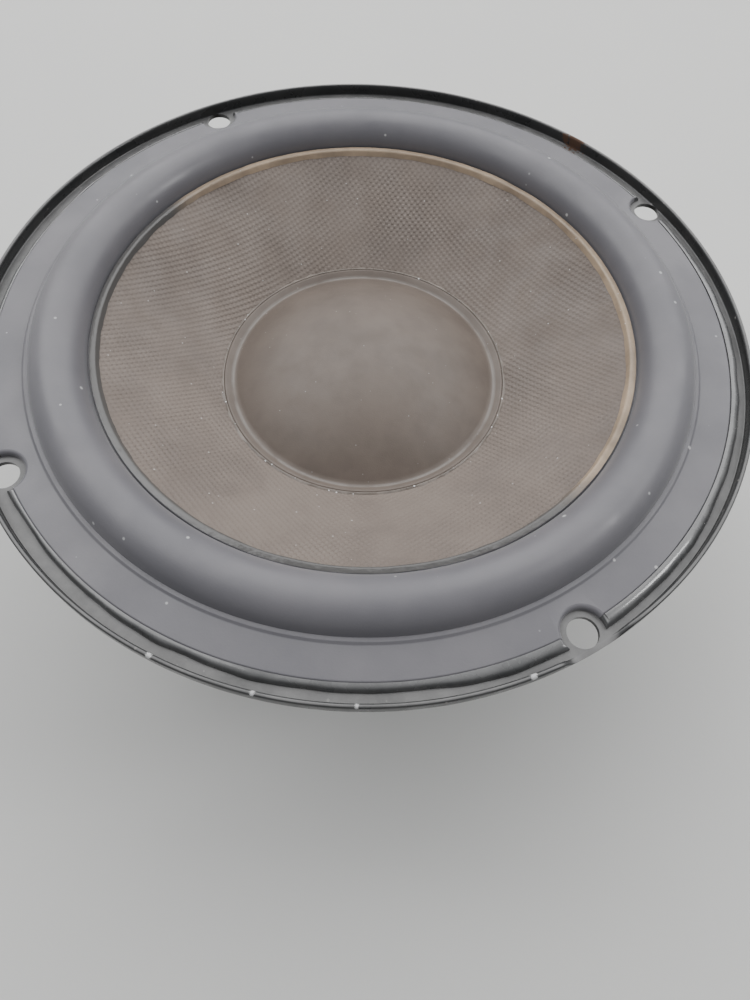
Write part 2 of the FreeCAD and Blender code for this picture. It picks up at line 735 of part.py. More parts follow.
def main():
    parts = {
        "basket": basket(),
        "surround": surround(),
        "surround_adhesive": surround_adhesive(),
        "cone": cone(),
        "cone_edge_glue": cone_edge_glue(),
        "cone_neck_glue": cone_neck_glue(),
        "dust_cap": dust_cap(),
        "dust_cap_glue": dust_cap_glue(),
        "voice_coil_former": voice_coil_former(),
        "former_collar": former_collar(),
        "voice_coil_winding": voice_coil_winding(),
        "coil_lead_wires": coil_lead_wires(),
        "lead_eyelets": lead_eyelets(),
        "spider": spider(),
        "spider_neck_glue": spider_neck_glue(),
        "spider_edge_glue": spider_edge_glue(),
        "top_plate": top_plate(),
        "basket_rivets": basket_rivets(),
        "magnet": magnet(),
        "back_plate": back_plate(),
        "pole_piece": pole_piece(),
        "terminal_block": terminal_block(),
        "terminal_board": terminal_board(),
        "terminal_rivets": terminal_rivets(),
        "solder_joints": solder_joints(),
    }
    for side, sign, colour in ((-1, "negative", "black"), (1, "positive", "red")):
        x = side * POST_X
        parts["terminal_contact_" + sign] = terminal_contact(x)
        parts["terminal_button_" + colour] = terminal_button(x)
        parts["terminal_spring_" + colour] = terminal_spring(x)
        parts["tinsel_lead_" + sign] = tinsel_lead(side)
    os.makedirs("parts", exist_ok=True)
    for name, shape in parts.items():
        box = shape.BoundBox
        solids = len(shape.Solids)
        print(name, "solids", solids, "valid", shape.isValid(), "volume", round(shape.Volume, 1),
              "z", round(box.ZMin, 2), round(box.ZMax, 2))
        shape.exportStep("parts/" + name + ".step")


main()
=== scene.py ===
import math

import bmesh
import bpy
from mathutils import Matrix, Vector, noise
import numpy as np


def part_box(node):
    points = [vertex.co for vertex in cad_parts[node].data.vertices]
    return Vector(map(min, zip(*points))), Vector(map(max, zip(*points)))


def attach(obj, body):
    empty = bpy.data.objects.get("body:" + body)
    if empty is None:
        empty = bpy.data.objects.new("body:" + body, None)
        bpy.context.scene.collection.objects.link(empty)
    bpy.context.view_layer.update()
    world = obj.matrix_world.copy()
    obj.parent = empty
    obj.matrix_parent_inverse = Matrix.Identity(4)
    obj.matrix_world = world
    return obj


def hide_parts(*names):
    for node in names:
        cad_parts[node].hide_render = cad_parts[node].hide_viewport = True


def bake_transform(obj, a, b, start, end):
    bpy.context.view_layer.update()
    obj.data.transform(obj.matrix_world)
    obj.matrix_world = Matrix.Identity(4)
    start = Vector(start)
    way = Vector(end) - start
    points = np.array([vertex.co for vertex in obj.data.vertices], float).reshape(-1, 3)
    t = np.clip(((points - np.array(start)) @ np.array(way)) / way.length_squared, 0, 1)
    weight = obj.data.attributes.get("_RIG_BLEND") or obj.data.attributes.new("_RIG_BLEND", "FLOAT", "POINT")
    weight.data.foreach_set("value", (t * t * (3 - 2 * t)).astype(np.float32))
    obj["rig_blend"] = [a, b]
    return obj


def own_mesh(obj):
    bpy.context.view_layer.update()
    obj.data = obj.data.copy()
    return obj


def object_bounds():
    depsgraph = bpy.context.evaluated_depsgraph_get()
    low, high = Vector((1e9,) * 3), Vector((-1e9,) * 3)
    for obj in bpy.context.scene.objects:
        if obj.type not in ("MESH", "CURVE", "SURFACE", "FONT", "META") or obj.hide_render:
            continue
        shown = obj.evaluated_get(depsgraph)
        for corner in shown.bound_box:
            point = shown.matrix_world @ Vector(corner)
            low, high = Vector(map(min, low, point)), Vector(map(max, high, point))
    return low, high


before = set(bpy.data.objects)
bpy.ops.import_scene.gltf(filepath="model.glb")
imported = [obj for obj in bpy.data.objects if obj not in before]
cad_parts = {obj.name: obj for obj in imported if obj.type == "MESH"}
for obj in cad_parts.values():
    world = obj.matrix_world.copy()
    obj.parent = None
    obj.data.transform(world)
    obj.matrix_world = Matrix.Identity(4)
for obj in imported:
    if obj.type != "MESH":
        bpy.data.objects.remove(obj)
cad_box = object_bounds()


# ---- Camera ----
# A hand-held camera 160 mm above the rim and 140 mm in front of the axis, tipped down at the cone,
# with a short lens and a slight roll.
MM = 0.001
scene = bpy.context.scene
camera_place = Vector((35.9, -136.2, 160.3)) * MM
camera_aim = Vector((-0.1022, 0.4647, -0.8795)).normalized()
camera_roll = math.radians(3.72)
camera_data = bpy.data.cameras.new("camera")
camera_data.lens = 26.65
camera_data.clip_start = 10 * MM
camera = bpy.data.objects.new("camera", camera_data)
scene.collection.objects.link(camera)
level = camera_aim.cross(Vector((0, 0, 1))).normalized()
upward = level.cross(camera_aim)
right = level * math.cos(camera_roll) + upward * math.sin(camera_roll)
top = upward * math.cos(camera_roll) - level * math.sin(camera_roll)
turned_to = Matrix((right, top, -camera_aim)).transposed()
camera.matrix_world = Matrix.Translation(camera_place) @ turned_to.to_4x4()
scene.camera = camera


# ---- Light ----
# Open-shade daylight: one broad soft panel on the far side, a smaller one on the left, and a small
# bright one whose glint runs along the near right-hand cement. A dim grey room fills the shadows.
def lamp(name, place, wide, high, power):
    """A soft panel that faces the speaker."""
    light = bpy.data.lights.new(name, "AREA")
    light.shape = "RECTANGLE"
    light.size = wide
    light.size_y = high
    light.energy = power
    panel = bpy.data.objects.new(name, light)
    scene.collection.objects.link(panel)
    facing = (-place).to_track_quat("-Z", "Y").to_matrix().to_4x4()
    panel.matrix_world = Matrix.Translation(place) @ facing


lamp("sky_panel", Vector((-0.15, 0.75, 0.95)), 3.0, 1.3, 33)
lamp("left_panel", Vector((-0.8, -0.15, 1.2)), 1.0, 1.0, 8)
lamp("glint_panel", Vector((0.90, 0.16, 0.80)), 0.24, 0.24, 3.5)
world = bpy.data.worlds.new("room")
world.use_nodes = True
world.node_tree.nodes["Background"].inputs["Color"].default_value = (0.94, 0.96, 1.0, 1)
world.node_tree.nodes["Background"].inputs["Strength"].default_value = 0.35
scene.world = world


# ---- Basket ----
# The frame that holds everything: one pressing of 1.2 mm steel in black paint, with a flat seat
# for the rubber, an outer edge folded up into a lip, and eight windows between its arms.
MERGE = 0.001 * MM
SPIN_STEPS = 384
SHEET = 1.2 * MM
basket_low, basket_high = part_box("basket")
rim_r = basket_high.x
lip_top = basket_high.z
lip_r = rim_r - SHEET / 2
bolt_circle_r = 101 * MM
bolt_hole_r = 3.75 * MM
ledge_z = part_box("spider_edge_glue")[0].z
ledge_inner_r = 50 * MM
ledge_outer_r = 60 * MM
wall_top = (87 * MM, -6 * MM)
window_top = -10 * MM
window_bottom = ledge_z + 3.5 * MM
arm_half = 6.5 * MM
window_count = 8


def bent(corners, steps=5):
    """Points along straight runs (r, z, bend), with an arc at each corner that has a bend."""
    points = []
    for k, (r, z, bend) in enumerate(corners):
        here = Vector((r, z))
        if not bend:
            points.append(here)
            continue
        before = (Vector(corners[k - 1][:2]) - here).normalized()
        after = (Vector(corners[(k + 1) % len(corners)][:2]) - here).normalized()
        half = before.angle(after) / 2
        centre = here + (before + after).normalized() * bend / math.sin(half)
        start = here + before * bend / math.tan(half) - centre
        end = here + after * bend / math.tan(half) - centre
        for step in range(steps + 1):
            points.append(centre + start.lerp(end, step / steps).normalized() * bend)
    return points


def arc(centre_r, centre_z, radius, start_deg, end_deg, steps):
    """Points on an arc, with the angle measured from the outward radius towards the front."""
    points = []
    for step in range(steps + 1):
        angle = math.radians(start_deg + (end_deg - start_deg) * step / steps)
        r, z = centre_r + radius * math.cos(angle), centre_z + radius * math.sin(angle)
        points.append(Vector((r, z)))
    return points


def sheet(path, thickness, cap_steps=4):
    """The closed outline of a sheet along a path, with its two edges rounded off."""
    half = thickness / 2
    normals = []
    for k, point in enumerate(path):
        run = Vector((0, 0))
        if k:
            run += (point - path[k - 1]).normalized()
        if k < len(path) - 1:
            run += (path[k + 1] - point).normalized()
        run.normalize()
        normals.append(Vector((-run.y, run.x)))
    one_side = [p + n * half for p, n in zip(path, normals)]
    other_side = [p - n * half for p, n in zip(path, normals)]
    outline = list(one_side)
    for end, side in ((path[-1], one_side), (path[0], other_side)):
        at_start = end is path[0]
        here = (side[0] if at_start else side[-1]) - end
        ahead = (end - (path[1] if at_start else path[-2])).normalized() * half
        if end.x > MERGE:
            for step in range(1, 2 * cap_steps):
                angle = math.pi * step / (2 * cap_steps)
                outline.append(end + here * math.cos(angle) + ahead * math.sin(angle))
        if not at_start:
            outline.extend(reversed(other_side))
    return outline


def finished(name, mesh, crease_deg=35):
    """The object made of a mesh, merged, facing outwards, and smooth up to a crease."""
    bmesh.ops.remove_doubles(mesh, verts=mesh.verts, dist=MERGE)
    bmesh.ops.recalc_face_normals(mesh, faces=mesh.faces)
    data = bpy.data.meshes.new(name)
    mesh.to_mesh(data)
    mesh.free()
    data.shade_smooth()
    data.set_sharp_from_angle(angle=math.radians(crease_deg))
    piece = bpy.data.objects.new(name, data)
    scene.collection.objects.link(piece)
    return piece


def add_turned(mesh, outline, x, y, steps):
    """Adds what a closed outline of radii and heights sweeps about an upright axis."""
    ring = [mesh.verts.new((x + max(p[0], 0), y, p[1])) for p in outline]
    on_axis = [p[0] < MERGE for p in outline]
    edges = []
    for k in range(len(ring)):
        if not (on_axis[k] and on_axis[k - 1]):
            edges.append(mesh.edges.new((ring[k - 1], ring[k])))
    bmesh.ops.spin(
        mesh, geom=ring + edges, cent=(x, y, 0), axis=(0, 0, 1), angle=2 * math.pi,
        steps=steps, use_merge=True,
    )


def spun(outline, steps=SPIN_STEPS):
    """The mesh that a closed outline sweeps about the speaker's axis."""
    mesh = bmesh.new()
    add_turned(mesh, outline, 0, 0, steps)
    return mesh


def add_rod(mesh, start, end, radius, end_radius=None, segments=48):
    """Adds a closed cylinder or cone between two points."""
    along = Vector(end) - Vector(start)
    place = Matrix.Translation((Vector(start) + Vector(end)) / 2)
    facing = along.to_track_quat("Z", "Y").to_matrix().to_4x4()
    bmesh.ops.create_cone(
        mesh, cap_ends=True, segments=segments, radius1=radius,
        radius2=radius if end_radius is None else end_radius, depth=along.length,
        matrix=place @ facing,
    )


def add_brick(mesh, low, high):
    """Adds a closed box between two corners."""
    low, high = Vector(low), Vector(high)
    middle = (low + high) / 2
    made = bmesh.ops.create_cube(mesh, size=1, matrix=Matrix.Translation(middle))
    bmesh.ops.scale(mesh, verts=made["verts"], vec=high - low, space=Matrix.Translation(-middle))


def combine(piece, tool_mesh, operation="DIFFERENCE", crease_deg=35):
    """Cuts closed shapes out of a piece, or joins them to it."""
    tool = finished("tool", tool_mesh)
    step = piece.modifiers.new("combine", "BOOLEAN")
    step.object = tool
    step.operation = operation
    step.solver = "MANIFOLD"
    graph = bpy.context.evaluated_depsgraph_get()
    piece.data = bpy.data.meshes.new_from_object(piece.evaluated_get(graph))
    piece.modifiers.clear()
    bpy.data.objects.remove(tool)
    piece.data.shade_smooth()
    piece.data.set_sharp_from_angle(angle=math.radians(crease_deg))


def wear(piece, material, body, slot, *nodes):
    """Gives a piece its material and body, and hides the nodes it stands for; slot is not used."""
    piece.data.materials.clear()
    piece.data.materials.append(material)
    if body:
        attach(piece, body)
    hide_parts(*nodes)


def ease(value, low, high):
    """Zero up to low, one from high, and smooth between."""
    share = min(max((value - low) / (high - low), 0), 1)
    return share * share * (3 - 2 * share)


def at_bolts(mesh, outline):
    """Adds what an outline sweeps about each of the four mounting holes."""
    for k in range(4):
        turn = math.radians(45 + 90 * k)
        x, y = bolt_circle_r * math.cos(turn), bolt_circle_r * math.sin(turn)
        add_turned(mesh, outline, x, y, 48)


half_sheet = SHEET / 2
seat_inner_r = 88.6 * MM
base_bore_r = 22 * MM
# The middle of the sheet from the lip inwards: radius, height and bend of each corner.
path = bent([
    (lip_r, lip_top - half_sheet, 0),
    (lip_r, half_sheet, 1.0 * MM),
    (seat_inner_r, half_sheet, 1.2 * MM),
    (wall_top[0] + half_sheet, wall_top[1], 6 * MM),
    (ledge_outer_r + 0.4 * MM, ledge_z - half_sheet, 2 * MM),
    (ledge_inner_r + half_sheet, ledge_z - half_sheet, 2 * MM),
    (ledge_inner_r + half_sheet, basket_low.z + half_sheet, 2.5 * MM),
    (base_bore_r, basket_low.z + half_sheet, 0),
])
basket_mesh = spun(sheet(path, SHEET))

# Beside the near right-hand hole the lip has been flattened.
dent_angle = math.radians(-45)
dent_drop = 0.95
dent_half = 5.5 * MM
dent_end = 10 * MM
for vert in basket_mesh.verts:
    if vert.co.xy.length > rim_r - 1.6 * SHEET and vert.co.z > SHEET:
        off = abs(math.atan2(vert.co.y, vert.co.x) - dent_angle) * rim_r
        share = dent_drop * (1 - ease(off, dent_half, dent_end))
        vert.co.z -= (vert.co.z - SHEET) * share
basket = finished("pressed_basket", basket_mesh)

openings = bmesh.new()
at_bolts(openings, [(0, -2 * SHEET), (bolt_hole_r, -2 * SHEET), (bolt_hole_r, 2 * SHEET),
                    (0, 2 * SHEET)])
half_pitch = math.tan(math.pi / window_count)
window_bend = 5 * MM
side_vent_r = 3.5 * MM


def wall_r(z):
    """The wall's radius at a height."""
    share = (z - wall_top[1]) / (ledge_z - wall_top[1])
    return wall_top[0] + share * (ledge_outer_r - wall_top[0])


for k in range(window_count):
    turn = Matrix.Rotation(2 * math.pi * k / window_count, 4, "Z")
    wide = wall_r(window_top) * half_pitch - arm_half
    narrow = wall_r(window_bottom) * half_pitch - arm_half
    shape = bent([
        (-narrow, window_bottom, window_bend), (narrow, window_bottom, window_bend),
        (wide, window_top, window_bend), (-wide, window_top, window_bend),
    ])
    verts = [openings.verts.new((ledge_inner_r, y, z)) for y, z in shape]
    face = openings.faces.new(verts)
    grown = bmesh.ops.extrude_face_region(openings, geom=[face])["geom"]
    moved = [g for g in grown if isinstance(g, bmesh.types.BMVert)]
    bmesh.ops.translate(openings, verts=moved, vec=(rim_r - ledge_inner_r - SHEET, 0, 0))
    bmesh.ops.transform(openings, matrix=turn, verts=verts + moved)
    vent_z = (ledge_z + basket_low.z + SHEET) / 2
    start = turn @ Vector((ledge_inner_r - 3 * SHEET, 0, vent_z))
    end = turn @ Vector((ledge_inner_r + 3 * SHEET, 0, vent_z))
    add_rod(openings, start, end, side_vent_r, segments=32)

# The tab for the terminals is folded out of the window at -Y.
tab_half = 16 * MM
tab_tip = -83 * MM
tab_gap = 7 * MM
tab_corner = 3 * MM
add_brick(
    openings, (-tab_half, -wall_r(window_bottom) - 2 * SHEET, ledge_z),
    (tab_half, SHEET - ledge_outer_r, ledge_z + tab_gap),
)
combine(basket, openings)
tab = bmesh.new()
add_brick(tab, (-tab_half, tab_tip, ledge_z - SHEET), (tab_half, SHEET - ledge_outer_r, ledge_z))
corners = [e for e in tab.edges if abs(e.verts[0].co.z - e.verts[1].co.z) > half_sheet
           and e.verts[0].co.y < tab_tip + half_sheet]
bmesh.ops.bevel(
    tab, geom=corners, offset=tab_corner, segments=6, profile=0.5, affect="EDGES", material=-1
)
combine(basket, tab, "UNION")


def plug(tree, socket, value):
    """Sets a socket to a value, or links it to another socket."""
    if isinstance(value, bpy.types.NodeSocket):
        tree.links.new(value, socket)
    else:
        socket.default_value = value


def put(tree, kind, inputs=None, **settings):
    """A shader node with its settings, and with each input set to a value or linked."""
    made = tree.nodes.new(kind)
    for name, value in settings.items():
        setattr(made, name, value)
    for name, value in (inputs or {}).items():
        plug(tree, made.inputs[name], value)
    return made


def maths(tree, operation, a, b=0.0):
    return put(tree, "ShaderNodeMath", {0: a, 1: b}, operation=operation).outputs[0]


def remap(tree, value, low, high, to_low=0.0, to_high=1.0):
    """The value's range from low to high, eased and clamped into a new range."""
    inputs = {"Value": value, 1: low, 2: high, 3: to_low, 4: to_high}
    made = put(tree, "ShaderNodeMapRange", inputs, interpolation_type="SMOOTHSTEP")
    return made.outputs["Result"]


def blend_colour(tree, share, a, b):
    made = put(tree, "ShaderNodeMix", {0: share, 6: a, 7: b}, data_type="RGBA")
    return made.outputs[2]


def grey(value, warmth=0.0):
    """A grey, warmer or cooler by a share."""
    return (value * (1 + warmth), value, value * (1 - warmth), 1)


def speaker_place(tree):
    return put(tree, "ShaderNodeTexCoord").outputs["Object"]


def ripple(tree, value, spacing):
    """A wave that repeats at a spacing."""
    return maths(tree, "SINE", maths(tree, "MULTIPLY", value, 2 * math.pi / spacing))


def bumped(tree, height, depth):
    """The surface normal that a relief gives."""
    return put(tree, "ShaderNodeBump", {"Height": height, "Distance": depth}).outputs["Normal"]


def make_worn_finish():
    """A used surface: its colour drifts in soft clouds, dust lies on it in small specks, its gloss
    varies, and a fine grain catches the light."""
    group = bpy.data.node_groups.new("worn_finish", "ShaderNodeTree")
    for way, kind, labels in (
        ("INPUT", "Color", ("Colour", "Cloud Colour", "Speck Colour")),
        ("INPUT", "Float", ("Cloud Scale", "Cloud Share", "Speck Scale", "Speck Size", "Smooth",
                            "Rough", "Grain Scale", "Grain Depth")),
        ("INPUT", "Vector", ("Normal",)),
        ("OUTPUT", "Color", ("Colour",)),
        ("OUTPUT", "Float", ("Roughness",)),
        ("OUTPUT", "Vector", ("Normal",)),
    ):
        for label in labels:
            group.interface.new_socket(label, in_out=way, socket_type="NodeSocket" + kind)
    given = group.nodes.new("NodeGroupInput").outputs
    place = speaker_place(group)
    cloud = put(group, "ShaderNodeTexNoise", {
        "Vector": place, "Scale": given["Cloud Scale"], "Detail": 6.0, "Roughness": 0.62,
    }).outputs["Fac"]
    share = maths(group, "MULTIPLY", remap(group, cloud, 0.32, 0.68), given["Cloud Share"])
    clouded = blend_colour(group, share, given["Colour"], given["Cloud Colour"])
    cell = put(group, "ShaderNodeTexVoronoi", {"Vector": place, "Scale": given["Speck Scale"]})
    sparse = put(group, "ShaderNodeSeparateColor", {"Color": cell.outputs["Color"]}).outputs[0]
    reach = maths(group, "MULTIPLY", given["Speck Size"], remap(group, sparse, 0.55, 1.0))
    inside = maths(group, "SUBTRACT", reach, cell.outputs["Distance"])
    specks = remap(group, inside, 0.0, 0.06)
    coloured = blend_colour(group, specks, clouded, given["Speck Colour"])
    smear = put(group, "ShaderNodeTexNoise", {
        "Vector": place, "Scale": maths(group, "MULTIPLY", given["Cloud Scale"], 2.7),
        "Detail": 4.0,
    }).outputs["Fac"]
    mixed = put(group, "ShaderNodeMix", {
        0: remap(group, smear, 0.3, 0.7), 2: given["Smooth"], 3: given["Rough"],
    }).outputs[0]
    grain = put(group, "ShaderNodeTexNoise", {
        "Vector": place, "Scale": given["Grain Scale"], "Detail": 3.0,
    }).outputs["Fac"]
    height = maths(group, "ADD", grain, specks)
    bump = put(group, "ShaderNodeBump", {
        "Height": height, "Distance": given["Grain Depth"], "Normal": given["Normal"],
    })
    put(group, "NodeGroupOutput", {
        "Colour": coloured, "Roughness": maths(group, "MAXIMUM", mixed, specks),
        "Normal": bump.outputs["Normal"],
    })
    return group


worn_finish = make_worn_finish()


def finish(name, colour, cloud=None, smooth=0.4, rough=0.6, metallic=0.0, cloud_scale=40.0,
           cloud_share=0.6, speck=None, speck_scale=260.0, speck_size=0.16, grain_scale=2500.0,
           grain_depth=0.03 * MM, relief=None, **sockets):
    """A material on the worn finish. The relief is a bump that lies under the grain."""
    material = bpy.data.materials.new(name)
    material.use_nodes = True
    tree = material.node_tree
    shader = tree.nodes["Principled BSDF"]
    inputs = {
        "Colour": colour, "Cloud Colour": cloud or colour, "Cloud Scale": cloud_scale,
        "Cloud Share": cloud_share, "Speck Colour": speck or grey(0.5), "Speck Scale": speck_scale,
        "Speck Size": speck_size, "Smooth": smooth, "Rough": rough, "Grain Scale": grain_scale,
        "Grain Depth": grain_depth,
    }
    worn = tree.nodes.new("ShaderNodeGroup")
    worn.node_tree = worn_finish
    for label, value in inputs.items():
        plug(tree, worn.inputs[label], value)
    plain = put(tree, "ShaderNodeNewGeometry").outputs["Normal"]
    plug(tree, worn.inputs["Normal"], relief(tree) if relief else plain)
    tree.links.new(worn.outputs["Colour"], shader.inputs["Base Color"])
    tree.links.new(worn.outputs["Roughness"], shader.inputs["Roughness"])
    tree.links.new(worn.outputs["Normal"], shader.inputs["Normal"])
    shader.inputs["Metallic"].default_value = metallic
    for label, value in sockets.items():
        shader.inputs[label.replace("_", " ")].default_value = value
    return material


def over(material, mask, colour, roughness):
    """Lays another colour and roughness over a material where the mask is one."""
    tree = material.node_tree
    sockets = tree.nodes["Principled BSDF"].inputs
    below = sockets["Base Color"].links[0].from_socket
    tree.links.new(blend_colour(tree, mask, below, colour), sockets["Base Color"])
    below = sockets["Roughness"].links[0].from_socket
    mixed = put(tree, "ShaderNodeMix", {0: mask, 2: below, 3: roughness})
    tree.links.new(mixed.outputs[0], sockets["Roughness"])


def near_spot(tree, centre, radius, ragged):
    """A mask that is one near a point, with a ragged edge."""
    place = speaker_place(tree)
    away = put(tree, "ShaderNodeVectorMath", {0: place, 1: centre}, operation="DISTANCE")
    torn = put(tree, "ShaderNodeTexNoise", {"Vector": place, "Scale": 4 / radius, "Detail": 5.0})
    drift = maths(tree, "MULTIPLY", maths(tree, "SUBTRACT", torn.outputs["Fac"], 0.5),
                  4 * radius * ragged)
    reach = maths(tree, "ADD", away.outputs["Value"], drift)
    return remap(tree, reach, radius, radius * 0.8)


def lay_dust_and_sky_reflection(material, colour, roughness):
    """Lays a patchy pale film on upward faces: dust, and a painted reflection of the sky."""
    tree = material.node_tree
    facing = put(tree, "ShaderNodeNewGeometry").outputs["Normal"]
    lying = put(tree, "ShaderNodeSeparateXYZ", {"Vector": facing}).outputs["Z"]
    patches = put(tree, "ShaderNodeTexNoise", {
        "Vector": speaker_place(tree), "Scale": 70.0, "Detail": 6.0, "Roughness": 0.7,
    }).outputs["Fac"]
    film = maths(tree, "MULTIPLY", remap(tree, lying, 0.75, 1.0),
                 remap(tree, patches, 0.2, 0.8, 0.25, 0.75))
    over(material, film, colour, roughness)


black_paint = finish(
    "black_paint", grey(0.022, -0.04), grey(0.04, 0.02), smooth=0.2, rough=0.38,
    cloud_scale=55, cloud_share=0.75, speck=grey(0.2, 0.04), speck_scale=330, speck_size=0.16,
    grain_scale=900, grain_depth=0.02 * MM, Coat_Weight=0.06, Coat_Roughness=0.2,
)
# Faces that look up get a pale film: partly dust, partly a painted reflection of the sky.
lay_dust_and_sky_reflection(black_paint, grey(0.21, 0.01), 0.55)
# The lip has rusted in one spot, and its near side is chipped down to the primer.
for lip_deg, spot_r, ragged, spot_colour in (
    (65, 4 * MM, 0.7, (0.085, 0.045, 0.027, 1)),
    (-54, 0.9 * MM, 0.4, grey(0.5)), (-75, 0.6 * MM, 0.4, grey(0.5)),
    (-87, 0.7 * MM, 0.4, grey(0.5)), (-100, 0.8 * MM, 0.4, grey(0.5)),
):
    turn = math.radians(lip_deg)
    spot = Vector((lip_r * math.cos(turn), lip_r * math.sin(turn), lip_top - 0.4 * MM))
    mask = near_spot(black_paint.node_tree, spot, spot_r, ragged)
    over(black_paint, mask, spot_colour, 0.9)
wear(basket, black_paint, "frame", "black_paint", "basket")


# ---- Top plate ----
# A turned steel disc, zinc plated, under the basket's base; its bore is the outer wall of the
# magnetic gap. Six steel rivets clamp the basket to it.
def rings(spacing, depth):
    """The relief of fine turning marks about the speaker's axis."""
    def relief(tree):
        place = put(tree, "ShaderNodeSeparateXYZ", {"Vector": speaker_place(tree)}).outputs
        flat = put(tree, "ShaderNodeCombineXYZ", {"X": place["X"], "Y": place["Y"]})
        radius = put(tree, "ShaderNodeVectorMath", {0: flat.outputs[0]}, operation="LENGTH")
        return bumped(tree, ripple(tree, radius.outputs["Value"], spacing), depth)
    return relief


zinc = finish(
    "zinc_steel", (0.56, 0.54, 0.47, 1), (0.42, 0.37, 0.27, 1), smooth=0.26, rough=0.5,
    metallic=1.0, cloud_scale=60, speck=(0.2, 0.12, 0.06, 1), speck_scale=180, speck_size=0.14,
    grain_scale=1800, grain_depth=0.008 * MM, relief=rings(0.45 * MM, 0.006 * MM),
)


def plate(name, node, bore_r, low_bevel, high_bevel, steps=192):
    """A turned disc with its box and its bore, and its four rims broken."""
    low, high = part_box(node)
    bore_bevel = 0.4 * MM
    outline = bent([
        (bore_r, low.z, bore_bevel), (high.x, low.z, low_bevel),
        (high.x, high.z, high_bevel), (bore_r, high.z, bore_bevel),
    ], steps=4)
    return finished(name, spun(outline, steps))


gap_outer_r = 20.8 * MM
broken_edge = 0.5 * MM
top_plate = plate("top_plate_disc", "top_plate", gap_outer_r, broken_edge, broken_edge)
wear(top_plate, zinc, "frame", "zinc_steel", "top_plate")

rivet_count = 6
rivet_circle_r = 36 * MM
rivet_r = 1.95 * MM
head_r = 4 * MM
head_top_r = 3 * MM
head_rim = 0.5 * MM
base_top = basket_low.z + SHEET
rivet_mesh = bmesh.new()
rivet_low, rivet_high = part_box("basket_rivets")
for k in range(rivet_count):
    turn = 2 * math.pi * k / rivet_count
    x, y = rivet_circle_r * math.cos(turn), rivet_circle_r * math.sin(turn)
    rim = (x, y, base_top + head_rim)
    add_rod(rivet_mesh, (x, y, rivet_low.z), (x, y, base_top + 0.2 * MM), rivet_r, segments=32)
    add_rod(rivet_mesh, (x, y, base_top), rim, head_r, segments=32)
    add_rod(rivet_mesh, rim, (x, y, rivet_high.z), head_r, head_top_r, segments=32)
rivets = finished("base_rivets", rivet_mesh)
wear(rivets, zinc, "frame", "zinc_steel", "basket_rivets")


# ---- Magnet ----
# A pressed and ground ring of dark ferrite, with chamfered rims that have chipped a little in
# handling. Cement holds it between the two plates.
ferrite = finish(
    "ferrite", grey(0.045, 0.03), grey(0.085, 0.05), smooth=0.55, rough=0.8, cloud_scale=90,
    speck=grey(0.2, 0.05), speck_scale=420, speck_size=0.2, grain_scale=1500,
    grain_depth=0.05 * MM,
)
magnet_low, magnet_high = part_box("magnet")
magnet_bevel = 1.5 * MM
magnet = plate("ferrite_ring", "magnet", 30 * MM, magnet_bevel, magnet_bevel, 256)
chip_depth = 1.5 * MM
chip_scale = 320
chip_start = 0.42
for vert in magnet.data.vertices:
    if vert.co.xy.length > magnet_high.x - 2 * MM:
        chip = noise.noise(vert.co * chip_scale) - chip_start
        if chip > 0:
            vert.co.xy *= 1 - chip * chip_depth / vert.co.xy.length
wear(magnet, ferrite, "frame", "ferrite", "magnet")


# ---- Back plate and pole ----
# A forged steel disc closes the back of the magnet, and a turned steel pole is pressed into it.
# The pole is bored through to let the air out from behind the dust cap.
shank_r = 14 * MM
back_plate = plate(
    "back_plate_disc", "back_plate", shank_r + 0.05 * MM, 2 * MM, broken_edge, 256
)
wear(back_plate, zinc, "frame", "zinc_steel", "back_plate")
pole_low, pole_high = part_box("pole_piece")
pole_r = pole_high.x
vent_r = 6 * MM
vent_flare = 2 * MM
pole = finished("vented_pole", spun(bent([
    (vent_r + vent_flare, pole_low.z, 0.3 * MM), (shank_r, pole_low.z, 0.4 * MM),
    (shank_r, magnet_low.z, 0), (pole_r, magnet_low.z, 0.3 * MM),
    (pole_r, pole_high.z, 0.8 * MM), (vent_r, pole_high.z, 1 * MM),
    (vent_r, pole_low.z + vent_flare, 1.5 * MM),
]), 128))
wear(pole, zinc, "frame", "zinc_steel", "pole_piece")


# ---- Spider ----
# The corrugated suspension at the neck: open cotton cloth stiffened with amber resin, pressed into
# nine rolls, and cemented to the ledge outside and to the coil's collar inside.
def weave(pitch, depth, turn_deg=0.0, wander=0.08, fade=0.0):
    """The relief of a plain weave. Its knots stand in square rows a pitch apart, and the relief
    fades away in patches."""
    def relief(tree):
        place = speaker_place(tree)
        drift = put(tree, "ShaderNodeTexNoise", {
            "Vector": place, "Scale": 0.35 / pitch, "Detail": 2.0,
        }).outputs["Color"]
        strayed = put(tree, "ShaderNodeVectorMath", {
            0: drift, 1: (pitch * wander,) * 3, 2: place,
        }, operation="MULTIPLY_ADD").outputs["Vector"]
        across_threads = put(tree, "ShaderNodeMapping", {
            "Vector": strayed, "Rotation": (0, 0, math.radians(45 - turn_deg)),
        }).outputs["Vector"]
        across = put(tree, "ShaderNodeSeparateXYZ", {"Vector": across_threads}).outputs
        turns_per_pitch = math.pi * math.sqrt(2) / pitch
        waves = [maths(tree, "SINE", maths(tree, "MULTIPLY", across[axis], turns_per_pitch))
                 for axis in ("X", "Y")]
        knots = remap(tree, maths(tree, "MULTIPLY", *waves), -0.4, 0.9)
        patches = put(tree, "ShaderNodeTexNoise", {"Vector": place, "Scale": 30.0, "Detail": 3.0})
        strength = remap(tree, patches.outputs["Fac"], 0.35, 0.65, 1 - fade, 1.0)
        return bumped(tree, maths(tree, "MULTIPLY", knots, strength), depth)
    return relief


